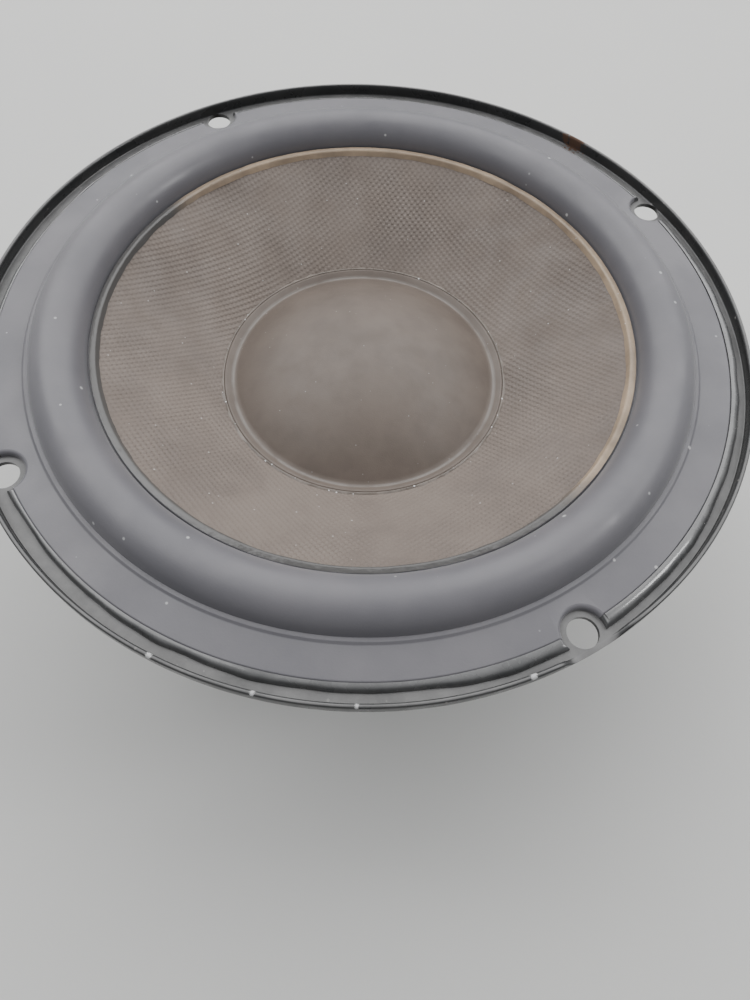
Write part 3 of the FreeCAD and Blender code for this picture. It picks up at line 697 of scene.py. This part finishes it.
spider_cloth = finish(
    "spider_cloth", (0.46, 0.32, 0.10, 1), (0.36, 0.23, 0.06, 1), smooth=0.5, rough=0.75,
    cloud_scale=60, speck=grey(0.5, 0.2), speck_scale=500, speck_size=0.15,
    grain_depth=0.02 * MM, relief=weave(0.6 * MM, 0.12 * MM),
)
spider_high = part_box("spider")[1]
spider_r = spider_high.x
spider_inner = 20.6 * MM
spider_z = ledge_z + 0.3 * MM
roll_start = 21.8 * MM
roll_end = 49.5 * MM
roll_count = 9
roll_height = 1.5 * MM
path = [Vector((spider_inner, spider_high.z)), Vector((spider_inner + 0.2 * MM, spider_z))]
roll_steps = 14 * roll_count
for step in range(roll_steps + 1):
    share = step / roll_steps
    path.append(Vector((
        roll_start + (roll_end - roll_start) * share,
        spider_z + roll_height * math.sin(math.pi * roll_count * share),
    )))
path.append(Vector((spider_r - 0.3 * MM, spider_z)))
spider = finished("corrugated_spider", spun(sheet(path, 0.5 * MM, 2), 192), 60)


def blend_by_radius(piece, fixed_r, moving_r):
    """Bends a round piece between the frame at one radius and the cone at another."""
    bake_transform(piece, "frame", "cone_assembly", start=(fixed_r, 0, 0), end=(moving_r, 0, 0))
    weights = piece.data.attributes["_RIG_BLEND"].data
    for vert, weight in zip(piece.data.vertices, weights):
        weight.value = 1 - ease(vert.co.xy.length, moving_r, fixed_r)


wear(spider, spider_cloth, None, "spider_cloth", "spider")
blend_by_radius(spider, 49.3 * MM, 22 * MM)


def unsteady(piece, share, scale, seed):
    """Makes a bead of cement uneven: it is thicker in some places than in others."""
    for vert in piece.data.vertices:
        swell = noise.noise(vert.co.normalized() * scale + Vector((seed, 0, 0)))
        vert.co += vert.normal * swell * share


amber_cement = finish(
    "amber_cement", (0.30, 0.15, 0.04, 1), (0.20, 0.09, 0.02, 1), smooth=0.12, rough=0.35,
    cloud_scale=120, speck_size=0.05, grain_scale=600, grain_depth=0.05 * MM,
)
edge_bead = finished("spider_edge_bead", spun(bent([
    (spider_r - 0.3 * MM, ledge_z + 0.5 * MM, 0.1 * MM), (spider_r, ledge_z, 0),
    (spider_r + 1 * MM, ledge_z, 0.1 * MM), (spider_r, ledge_z + 0.9 * MM, 0.3 * MM),
], 3), 192), 80)
unsteady(edge_bead, 0.12 * MM, 30, 3)
wear(edge_bead, amber_cement, "frame", "amber_cement", "spider_edge_glue")


def repaint(node, material):
    """Gives a node of the frame its material."""
    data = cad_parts[node].data
    data.materials.clear()
    data.materials.append(material)


repaint("spider_neck_glue", amber_cement)


# ---- Voice coil ----
# Two layers of enamelled copper wire on a thin foil former, which a kraft paper collar stiffens up
# to the cone. Two leads run up the collar to the eyelets.
foil = finish(
    "former_foil", grey(0.62), grey(0.5, 0.03), smooth=0.2, rough=0.4, metallic=1.0,
    speck_size=0.08, grain_scale=1200, grain_depth=0.01 * MM,
)
kraft = finish(
    "kraft_paper", (0.36, 0.23, 0.12, 1), (0.28, 0.17, 0.08, 1), smooth=0.65, rough=0.85,
    cloud_scale=150, speck=(0.2, 0.12, 0.06, 1), speck_scale=700, grain_scale=1400,
    grain_depth=0.05 * MM,
)


def turns(spacing, depth):
    """The relief of wire wound side by side about the axis."""
    def relief(tree):
        place = put(tree, "ShaderNodeSeparateXYZ", {"Vector": speaker_place(tree)}).outputs
        wire = maths(tree, "ABSOLUTE", ripple(tree, place["Z"], spacing))
        return bumped(tree, wire, depth)
    return relief


copper_wire = finish(
    "copper_wire", (0.62, 0.22, 0.07, 1), (0.5, 0.16, 0.05, 1), smooth=0.15, rough=0.3,
    metallic=0.9, speck_size=0.05, grain_depth=0.005 * MM, relief=turns(0.8 * MM, 0.2 * MM),
)
repaint("voice_coil_former", foil)
repaint("former_collar", kraft)
repaint("voice_coil_winding", copper_wire)
repaint("coil_lead_wires", copper_wire)


# ---- Cone ----
# The moving diaphragm: straight-sided fibre board with a fine weave pressed into its face and a
# matt coating that has gone brown. Its neck is cemented to the collar.
cone_low, cone_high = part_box("cone")
cone_edge_r = 72.9 * MM
cone_edge_z = cone_high.z
cone_slope = math.tan(math.radians(33.1))
cone_sheet = 1.2 * MM
neck_r = 20.2 * MM


def cone_z(r):
    """The height of the cone's front face at a radius."""
    return cone_edge_z - cone_slope * (cone_edge_r - r)


upright = cone_sheet / math.cos(math.atan(cone_slope)) / 2
path = bent([
    (cone_high.x - cone_sheet / 2, cone_edge_z - cone_sheet / 2, 0),
    (cone_edge_r + 0.2 * MM, cone_edge_z - cone_sheet / 2, 1 * MM),
    (neck_r + cone_sheet / 2, cone_z(neck_r + cone_sheet / 2) - upright, 1 * MM),
    (neck_r + cone_sheet / 2, cone_low.z + cone_sheet / 2, 0),
])
cone = finished("woven_cone", spun(sheet(path, cone_sheet), 256))

eyelet_x = 8 * MM
eyelet_circle_r = 33 * MM
eyelet_y = -math.sqrt(eyelet_circle_r**2 - eyelet_x**2)
lean = cone_slope / eyelet_circle_r
holes = bmesh.new()
for side in (-1, 1):
    middle = Vector((side * eyelet_x, eyelet_y, cone_z(eyelet_circle_r)))
    outward = Vector((-lean * middle.x, -lean * middle.y, 1)).normalized() * 4 * MM
    add_rod(holes, middle - outward, middle + outward, 1.2 * MM, segments=24)
combine(cone, holes)

weave_pitch = 1.34 * MM
weave_turn_deg = 54
cone_board = finish(
    "woven_cone_board", (0.190, 0.157, 0.134, 1), (0.139, 0.114, 0.098, 1), smooth=0.55,
    rough=0.8, cloud_scale=38, cloud_share=0.8, speck=grey(0.42, 0.05), speck_scale=420,
    speck_size=0.13, grain_scale=2600, grain_depth=0.04 * MM,
    relief=weave(weave_pitch, 0.22 * MM, weave_turn_deg, fade=0.6),
)
wear(cone, cone_board, "cone_assembly", "woven_cone", "cone")
repaint("cone_neck_glue", amber_cement)
brass = finish(
    "nickel_brass", (0.62, 0.5, 0.28, 1), (0.5, 0.38, 0.2, 1), smooth=0.2, rough=0.42,
    metallic=1.0, cloud_scale=200, speck_size=0.08, grain_depth=0.01 * MM,
)
repaint("lead_eyelets", brass)


# ---- Leads ----
# Two braided copper leads with slack, from the solder lugs to the eyelets: fine tinsel strands
# twisted round a cotton core, so that they bend with the cone without breaking.
lead_route = (
    (8.0, -60.6, -32.75),
    (8.1, -57.0, -32.65),
    (8.3, -53.2, -33.1),
    (8.8, -49.8, -34.3),
    (9.4, -46.4, -35.4),
    (9.6, -43.0, -35.6),
    (9.2, -39.6, -34.6),
    (8.6, -36.4, -32.6),
    (8.2, -33.6, -29.9),
)
lead_r = 0.8 * MM
strand_count = 6
strand_r = 0.3 * MM
twist_pitch = 5 * MM


def smooth_line(points, per_point=12):
    """Points along the smooth curve that a route steers."""
    data = bpy.data.curves.new("route", "CURVE")
    data.dimensions = "3D"
    spline = data.splines.new("NURBS")
    spline.points.add(len(points) - 1)
    for point, place in zip(spline.points, points):
        point.co = (*place, 1)
    spline.order_u = 3
    spline.use_endpoint_u = True
    spline.resolution_u = per_point
    holder = bpy.data.objects.new("route", data)
    scene.collection.objects.link(holder)
    graph = bpy.context.evaluated_depsgraph_get()
    mesh = bpy.data.meshes.new_from_object(holder.evaluated_get(graph))
    line = [vert.co.copy() for vert in mesh.vertices]
    bpy.data.objects.remove(holder)
    bpy.data.meshes.remove(mesh)
    return line


def add_tube(mesh, line, radius, segments=8):
    """Adds a closed round tube along a line, by sweeping one ring."""
    ring = None
    side = Vector((1, 0, 0))
    for k, here in enumerate(line):
        ahead = (line[min(k + 1, len(line) - 1)] - line[max(k - 1, 0)]).normalized()
        side = (side - ahead * side.dot(ahead)).normalized()
        other = ahead.cross(side)
        if ring is None:
            made = bmesh.ops.create_circle(mesh, cap_ends=True, radius=radius, segments=segments)
            ring = made["verts"]
        else:
            edges = list({e for v in ring for e in v.link_edges if e.other_vert(v) in ring})
            made = bmesh.ops.extrude_edge_only(mesh, edges=edges)["geom"]
            moved = [g for g in made if isinstance(g, bmesh.types.BMVert)]
            follower = {e.other_vert(v): v for v in moved for e in v.link_edges}
            ring = [follower[v] for v in ring]
        for step, vert in enumerate(ring):
            angle = 2 * math.pi * step / segments
            vert.co = here + (side * math.cos(angle) + other * math.sin(angle)) * radius
    mesh.faces.new(reversed(ring))


copper_braid = finish(
    "copper_braid", (0.66, 0.30, 0.13, 1), (0.45, 0.2, 0.09, 1), smooth=0.25, rough=0.45,
    metallic=1.0, cloud_scale=300, speck_size=0.05, grain_scale=3000, grain_depth=0.02 * MM,
)
for side, sign in ((-1, "negative"), (1, "positive")):
    line = smooth_line([Vector((side * x, y, z)) * MM for x, y, z in lead_route])
    braid = bmesh.new()
    add_tube(braid, line, lead_r - 1.6 * strand_r)
    along = 0
    tracks = [[] for _ in range(strand_count)]
    for k, here in enumerate(line):
        before, after = line[max(k - 1, 0)], line[min(k + 1, len(line) - 1)]
        ahead = (after - before).normalized()
        across = (Vector((1, 0, 0)) - ahead * ahead.x).normalized()
        lift = ahead.cross(across)
        along += (here - before).length
        for strand, track in enumerate(tracks):
            angle = 2 * math.pi * (along / twist_pitch + strand / strand_count)
            swing = across * math.cos(angle) + lift * math.sin(angle)
            track.append(here + swing * (lead_r - strand_r))
    for track in tracks:
        add_tube(braid, track, strand_r)
    lead = finished("tinsel_braid_" + sign, braid, 80)
    wear(lead, copper_braid, None, "copper_braid", "tinsel_lead_" + sign)
    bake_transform(lead, "frame", "cone_assembly", start=(side * 8 * MM, -57 * MM, -33 * MM),
             end=(side * 8 * MM, -34 * MM, -30 * MM))


# ---- Rubber surround ----
# The moulded rubber ring that lets the cone move: a flat flange on the basket's seat, notched round
# each mounting hole, one broad half roll, and a foot on the cone's edge.
rubber_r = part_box("surround")[1].x
flange_top = 3 * MM
roll_r = 7.5 * MM
roll_centre = (83 * MM, 2 * MM)
rubber_sheet = 1.4 * MM
foot_r = 73.4 * MM
foot_low = cone_edge_z + 0.05 * MM
foot_top = foot_low + 1.2 * MM
step_r = 91.4 * MM
step_z = flange_top + 0.5 * MM
crease_r = 75.3 * MM
crease_z = foot_top - 0.7 * MM


def roll_angle(z):
    """The angle on the roll's outside at a height."""
    return math.degrees(math.asin((z - roll_centre[1]) / roll_r))


outline = bent([(foot_r, foot_low, 0.2 * MM), (foot_r, foot_top, 0.3 * MM),
                (crease_r - 0.3 * MM, foot_top, 0.2 * MM), (crease_r, crease_z, 0)], 3)
outline += arc(*roll_centre, roll_r, 180 - roll_angle(crease_z), roll_angle(step_z) + 3, 30)
outline += bent([
    (step_r - 1 * MM, step_z, 0), (step_r, step_z, 0.4 * MM),
    (step_r + 0.6 * MM, flange_top, 0.5 * MM),
    (rubber_r, flange_top, 0.5 * MM), (rubber_r, SHEET, 0),
    (roll_centre[0] + roll_r - rubber_sheet, SHEET, 0),
], 3)
outline += arc(*roll_centre, roll_r - rubber_sheet, 0, 180, 20)
outline.append(Vector((roll_centre[0] - roll_r + rubber_sheet, foot_low)))
surround = finished("rubber_surround", spun(outline), 40)
notch_r = 5.4 * MM
notch_edge = 1.1 * MM


def add_notches(mesh, top_z):
    """Adds the cutters of the notches, flared so that the edge they leave is rounded off."""
    flare = arc(notch_r + notch_edge, top_z - notch_edge, notch_edge, 180, 100, 6)
    at_bolts(mesh, [(0, -1 * MM), (notch_r, -1 * MM), *flare, (flare[-1].x, 8 * MM), (0, 8 * MM)])


notches = bmesh.new()
add_notches(notches, flange_top)
combine(surround, notches, crease_deg=40)
rubber = finish(
    "satin_rubber", (0.124, 0.122, 0.134, 1), (0.163, 0.157, 0.168, 1), smooth=0.34, rough=0.52,
    cloud_scale=26, cloud_share=0.7, speck=grey(0.45), speck_scale=210, speck_size=0.13,
    grain_scale=2200, grain_depth=0.02 * MM, Sheen_Weight=0.25, Sheen_Roughness=0.4,
)
wear(surround, rubber, None, "rubber", "surround")
blend_by_radius(surround, 90 * MM, 76 * MM)


# ---- Rubber cement ----
# Black contact cement holds the rubber's flange down. It has squeezed out on the seat around the
# edge in an uneven glossy fillet, broken at each hole.
black_cement = finish(
    "black_cement", grey(0.055, -0.02), grey(0.11), smooth=0.12, rough=0.32, cloud_scale=110,
    speck=grey(0.5), speck_scale=500, speck_size=0.1, grain_scale=400, grain_depth=0.05 * MM,
    Coat_Weight=0.5, Coat_Roughness=0.08,
)
# Faces that look up get a pale film: partly dust, partly a painted reflection of the sky.
lay_dust_and_sky_reflection(black_cement, grey(0.22), 0.34)
bead_width = 1.5 * MM
bead_height = 1.6 * MM
bead_foot = SHEET + 0.01 * MM
squeeze = finished("squeezed_cement", spun(
    arc(rubber_r, bead_foot, bead_width, 0, 90, 10) + [Vector((rubber_r, bead_foot))]
), 60)
thick_side = Vector((0.98, -0.2, 0))
for vert in squeeze.data.vertices:
    spread = vert.co.xy.length - rubber_r
    way = vert.co.xy.normalized().to_3d()
    swell = (0.45 * noise.noise(way * 4.5) + 0.25 * noise.noise(way * 13)
             + 0.06 * noise.noise(way * 35))
    run_out = 1 + swell + 0.9 * ease(way.dot(thick_side), 0.35, 0.95)
    if spread > 0:
        vert.co.xy *= 1 + spread * (run_out - 1) / vert.co.xy.length
    rise = (vert.co.z - SHEET) * bead_height / bead_width
    vert.co.z = SHEET + rise * (0.75 + 0.25 * run_out)
notches = bmesh.new()
add_notches(notches, SHEET + bead_height)
combine(squeeze, notches, crease_deg=60)
wear(squeeze, black_cement, "frame", "black_cement", "surround_adhesive")


# ---- Cone edge cement ----
# A fillet of tan cement, laid by hand, closes the step between the cone and the rubber's foot. It
# has dried uneven, and grit has stuck to it.
tan_cement = finish(
    "tan_cement", (0.42, 0.32, 0.225, 1), (0.24, 0.185, 0.135, 1), smooth=0.3, rough=0.6,
    cloud_scale=70, cloud_share=0.9, speck=grey(0.7), speck_scale=600, speck_size=0.12,
    grain_scale=900, grain_depth=0.1 * MM,
)
# Towards the far right the tan shows; everywhere else the fillet is painted a glossy dark grey.
fillet_tree = tan_cement.node_tree
toward_far_right = put(fillet_tree, "ShaderNodeVectorMath", {
    0: speaker_place(fillet_tree), 1: (0.45, 0.89, 0),
}, operation="DOT_PRODUCT").outputs["Value"]
dark_edge_noise = put(fillet_tree, "ShaderNodeTexNoise", {
    "Vector": speaker_place(fillet_tree), "Scale": 60.0, "Detail": 4.0,
}).outputs["Fac"]
dark_edge_wander = maths(fillet_tree, "MULTIPLY", dark_edge_noise, 20 * MM)
ragged_far_right_reach = maths(fillet_tree, "ADD", toward_far_right, dark_edge_wander)
over(tan_cement, remap(fillet_tree, ragged_far_right_reach, 18 * MM, -2 * MM), grey(0.085, 0.03), 0.16)
fillet_inner = cone_edge_r - 0.3 * MM
fillet_outer = foot_r + 1.5 * MM
fillet = finished("cone_edge_fillet", spun(bent([
    (fillet_inner, cone_z(fillet_inner) + 0.02 * MM, 0), (cone_edge_r, cone_edge_z + 0.02 * MM, 0),
    (foot_r - 0.05 * MM, cone_edge_z + 0.02 * MM, 0), (foot_r - 0.05 * MM, foot_top - 0.2 * MM, 0),
    (fillet_outer, foot_top - 0.05 * MM, 0), (fillet_outer, foot_top + 0.1 * MM, 0),
    (foot_r - 0.1 * MM, foot_top + 0.35 * MM, 0.7 * MM),
], 5)), 60)
for vert in fillet.data.vertices:
    way = vert.co.xy.normalized().to_3d()
    swell = noise.noise(way * 9) + 0.5 * noise.noise(way * 26)
    inward = foot_r - vert.co.xy.length
    if inward > 0.2 * MM:
        vert.co.xy *= 1 - inward * 0.35 * swell / vert.co.xy.length
        vert.co.z = max(vert.co.z, cone_z(vert.co.xy.length) + 0.02 * MM)
    elif vert.co.z > foot_top:
        vert.co.z += 0.12 * MM * swell
wear(fillet, tan_cement, "cone_assembly", "tan_cement", "cone_edge_glue")


# ---- Dust cap ----
# A pressed dome of smooth coated board that keeps grit out of the gap. Its thin lip follows the
# cone and is held by a line of cement along the lip's outer edge. Its fold is painted paler.
cap_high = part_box("dust_cap")[1]
cap_dome_r = 39.2 * MM
cap_lip_r = cap_high.x
cap_sheet = 0.9 * MM
cap_height = 14 * MM
ball_r = (cap_dome_r**2 + cap_height**2) / (2 * cap_height)
dome_deg = math.degrees(math.asin(cap_dome_r / ball_r))
mid_sheet = cap_sheet / 2
path = arc(0, cap_high.z - ball_r, ball_r - mid_sheet, 90, 90 - dome_deg + 0.6, 40)
path += bent([
    (path[-1].x, path[-1].y, 0),
    (cap_dome_r + 0.4 * MM, cone_z(cap_dome_r + 0.4 * MM) + mid_sheet, 0.8 * MM),
    (cap_lip_r - mid_sheet, cone_z(cap_lip_r - mid_sheet) + mid_sheet * 1.2, 0),
], 4)[1:]
cap = finished("domed_dust_cap", spun(sheet(path, cap_sheet, 3), 192), 60)
cap_board = finish(
    "smooth_cap_board", (0.134, 0.107, 0.088, 1), (0.104, 0.082, 0.067, 1), smooth=0.5, rough=0.6,
    cloud_scale=75, cloud_share=0.8, speck=grey(0.3, 0.05), speck_scale=500, speck_size=0.12,
    grain_scale=3200, grain_depth=0.035 * MM, Specular_IOR_Level=0.6,
)
wear(cap, cap_board, "cone_assembly", "cap_board", "dust_cap")

cap_tree = cap_board.node_tree
flat_place = put(cap_tree, "ShaderNodeVectorMath", {
    0: speaker_place(cap_tree), 1: (1, 1, 0),
}, operation="MULTIPLY").outputs["Vector"]
from_axis = put(
    cap_tree, "ShaderNodeVectorMath", {0: flat_place}, operation="LENGTH"
).outputs["Value"]
# A broken, paler ring is painted along the fold between the dome and its lip.
past_fold = maths(cap_tree, "SUBTRACT", from_axis, cap_dome_r + 0.3 * MM)
from_fold = maths(cap_tree, "ABSOLUTE", past_fold)
fold_pale_ring = remap(cap_tree, from_fold, 0.7 * MM, 0.2 * MM)
broken = put(cap_tree, "ShaderNodeTexNoise", {"Vector": flat_place, "Scale": 90.0, "Detail": 4.0})
fold_pale_ring = maths(cap_tree, "MULTIPLY", fold_pale_ring, remap(cap_tree, broken.outputs["Fac"], 0.3, 0.6))
over(cap_board, maths(cap_tree, "MULTIPLY", fold_pale_ring, 0.5), grey(0.26, 0.06), 0.8)

lip_cement = finish(
    "lip_cement", (0.22, 0.19, 0.165, 1), (0.13, 0.112, 0.098, 1), smooth=0.25, rough=0.6,
    cloud_scale=120, cloud_share=0.9, speck=grey(0.75), speck_scale=900, speck_size=0.3,
    grain_scale=1200, grain_depth=0.1 * MM,
)
bead_r = cap_lip_r + 0.7 * MM
cap_bead = finished("dust_cap_bead", spun(bent([
    (cap_lip_r, cone_z(cap_lip_r) + 0.02 * MM, 0),
    (bead_r, cone_z(bead_r) + 0.02 * MM, 0),
    (cap_lip_r, cone_z(cap_lip_r) + cap_sheet, 0.2 * MM),
], 4), 256), 60)
for vert in cap_bead.data.vertices:
    spread = vert.co.xy.length - cap_lip_r
    if spread > 0.1 * MM:
        swell = noise.noise(vert.co.normalized() * 22)
        vert.co.xy *= 1 + spread * swell * 0.6 / vert.co.xy.length
        vert.co.z = max(vert.co.z, cone_z(vert.co.xy.length) + 0.02 * MM)
wear(cap_bead, lip_cement, "cone_assembly", "tan_cement", "dust_cap_glue")


# ---- Terminals ----
# Spring terminals on the basket's tab: a moulded black housing riveted to the tab, closed at the
# back by a fibre board that carries two plated brass cups with solder lugs.
black_plastic = finish(
    "black_plastic", grey(0.018), grey(0.03), smooth=0.32, rough=0.5, cloud_scale=80,
    speck=grey(0.3), speck_scale=500, speck_size=0.1, grain_scale=2600, grain_depth=0.03 * MM,
)
fibre = finish(
    "fibre_board", (0.20, 0.09, 0.035, 1), (0.14, 0.06, 0.025, 1), smooth=0.4, rough=0.6,
    cloud_scale=160, grain_scale=1600, grain_depth=0.04 * MM, speck_size=0.08,
)
block_low, block_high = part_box("terminal_block")
post_x = 8 * MM
post_z = (block_low.z + block_high.z) / 2
block_mesh = bmesh.new()
add_brick(block_mesh, block_low, block_high)
bmesh.ops.bevel(
    block_mesh, geom=list(block_mesh.edges), offset=1.0 * MM, segments=4, profile=0.5,
    affect="EDGES", material=-1,
)
block = finished("terminal_housing", block_mesh, 50)
sleeve_r = 5.3 * MM
mouth_r = 4.1 * MM
mouth_y = block_low.y + 1.5 * MM
wire_hole_r = 1.9 * MM
wire_hole_y = -74.1 * MM
rivet_hole_r = 1.5 * MM
rivet_ys = (-71 * MM, -78.5 * MM)
past = 1 * MM
bores = bmesh.new()
for x in (-post_x, post_x):
    add_rod(bores, (x, mouth_y, post_z), (x, block_high.y + past, post_z), sleeve_r)
    add_rod(bores, (x, block_low.y - past, post_z), (x, mouth_y + past / 2, post_z), mouth_r)
combine(block, bores)
wire_holes = bmesh.new()
for x in (-post_x, post_x):
    add_rod(wire_holes, (x, wire_hole_y, block_low.z + SHEET),
            (x, wire_hole_y, block_high.z + past), wire_hole_r, segments=32)
for y in rivet_ys:
    add_rod(wire_holes, (0, y, block_low.z - past), (0, y, block_high.z + past), rivet_hole_r,
            segments=32)
combine(block, wire_holes)
wear(block, black_plastic, "frame", "black_plastic", "terminal_block")
repaint("terminal_board", fibre)
for sign in ("negative", "positive"):
    repaint("terminal_contact_" + sign, brass)
repaint("terminal_rivets", brass)
solder = finish(
    "solder", grey(0.6), grey(0.42), smooth=0.15, rough=0.4, metallic=1.0, cloud_scale=300,
    speck_size=0.05, grain_scale=900, grain_depth=0.03 * MM,
)
repaint("solder_joints", solder)


# ---- Push buttons and springs ----
# A red and a black moulded button, each on a coil spring of drawn wire. Pushing one in lines its
# cross hole up with the wire hole; letting go clamps the bare wire.
red_plastic = finish(
    "red_plastic", (0.42, 0.012, 0.008, 1), (0.34, 0.01, 0.01, 1), smooth=0.22, rough=0.42,
    cloud_scale=80, speck=grey(0.5), speck_scale=500, speck_size=0.08, grain_scale=2600,
    grain_depth=0.02 * MM,
)
spring_steel = finish(
    "spring_steel", grey(0.55), grey(0.45), smooth=0.18, rough=0.35, metallic=1.0,
    speck_size=0.05, grain_depth=0.005 * MM,
)
button_travel = 3.5 * MM
spring_r = 3.4 * MM
spring_wire_r = 0.3 * MM
spring_turns = 4
turn_steps = 24
cap_r = 3.95 * MM
shank_y = block_low.y + 1.6 * MM
cross_y = wire_hole_y - button_travel
cross_half = 6 * MM
for side, colour, plastic in ((-1, "black", black_plastic), (1, "red", red_plastic)):
    x = side * post_x
    low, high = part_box("terminal_button_" + colour)
    button_r = (high.x - low.x) / 2
    profile = bent([
        (0, 0.5 * MM, 0), (cap_r - 1.0 * MM, 0, 0.5 * MM), (cap_r, 0, 0.8 * MM),
        (cap_r, shank_y - low.y, 0), (button_r, shank_y - low.y, 0.3 * MM),
        (button_r, high.y - low.y, 0.3 * MM), (0, high.y - low.y, 0),
    ], 4)
    knob = spun(profile, 64)
    to_bore = Matrix.Translation((x, low.y, post_z)) @ Matrix.Rotation(math.radians(-90), 4, "X")
    bmesh.ops.transform(knob, matrix=to_bore, verts=knob.verts)
    button = finished("push_button_" + colour, knob)
    cross = bmesh.new()
    add_rod(cross, (x, cross_y, post_z - cross_half), (x, cross_y, post_z + cross_half),
            wire_hole_r, segments=32)
    combine(button, cross)
    wear(button, plastic, "button_" + colour, colour + "_plastic", "terminal_button_" + colour)

    spring_low, spring_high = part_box("terminal_spring_" + colour)
    front = spring_low.y + spring_wire_r
    back = spring_high.y - spring_wire_r
    coil = []
    for step in range(spring_turns * turn_steps + 1):
        turn = 2 * math.pi * step / turn_steps
        y = front + (back - front) * step / (spring_turns * turn_steps)
        coil.append(Vector((x + spring_r * math.cos(turn), y, post_z + spring_r * math.sin(turn))))
    wire = bmesh.new()
    add_tube(wire, coil, spring_wire_r, 10)
    spring = finished("coil_spring_" + colour, wire, 60)
    wear(spring, spring_steel, "frame", "spring_steel", "terminal_spring_" + colour)
    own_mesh(spring)


# ---- Floor ----
# A plain pale sheet that the speaker stands on, on its back plate.
floor_mesh = bmesh.new()
bmesh.ops.create_grid(
    floor_mesh, x_segments=1, y_segments=1, size=2.5,
    matrix=Matrix.Translation((0, 0, cad_box[0].z)),
)
floor = finished("floor", floor_mesh)
pale = finish(
    "pale_floor", (0.62, 0.62, 0.60, 1), (0.58, 0.58, 0.57, 1), smooth=0.7, rough=0.9,
    cloud_scale=3, speck_size=0.0, grain_scale=300, grain_depth=0.05 * MM,
)
floor.data.materials.append(pale)
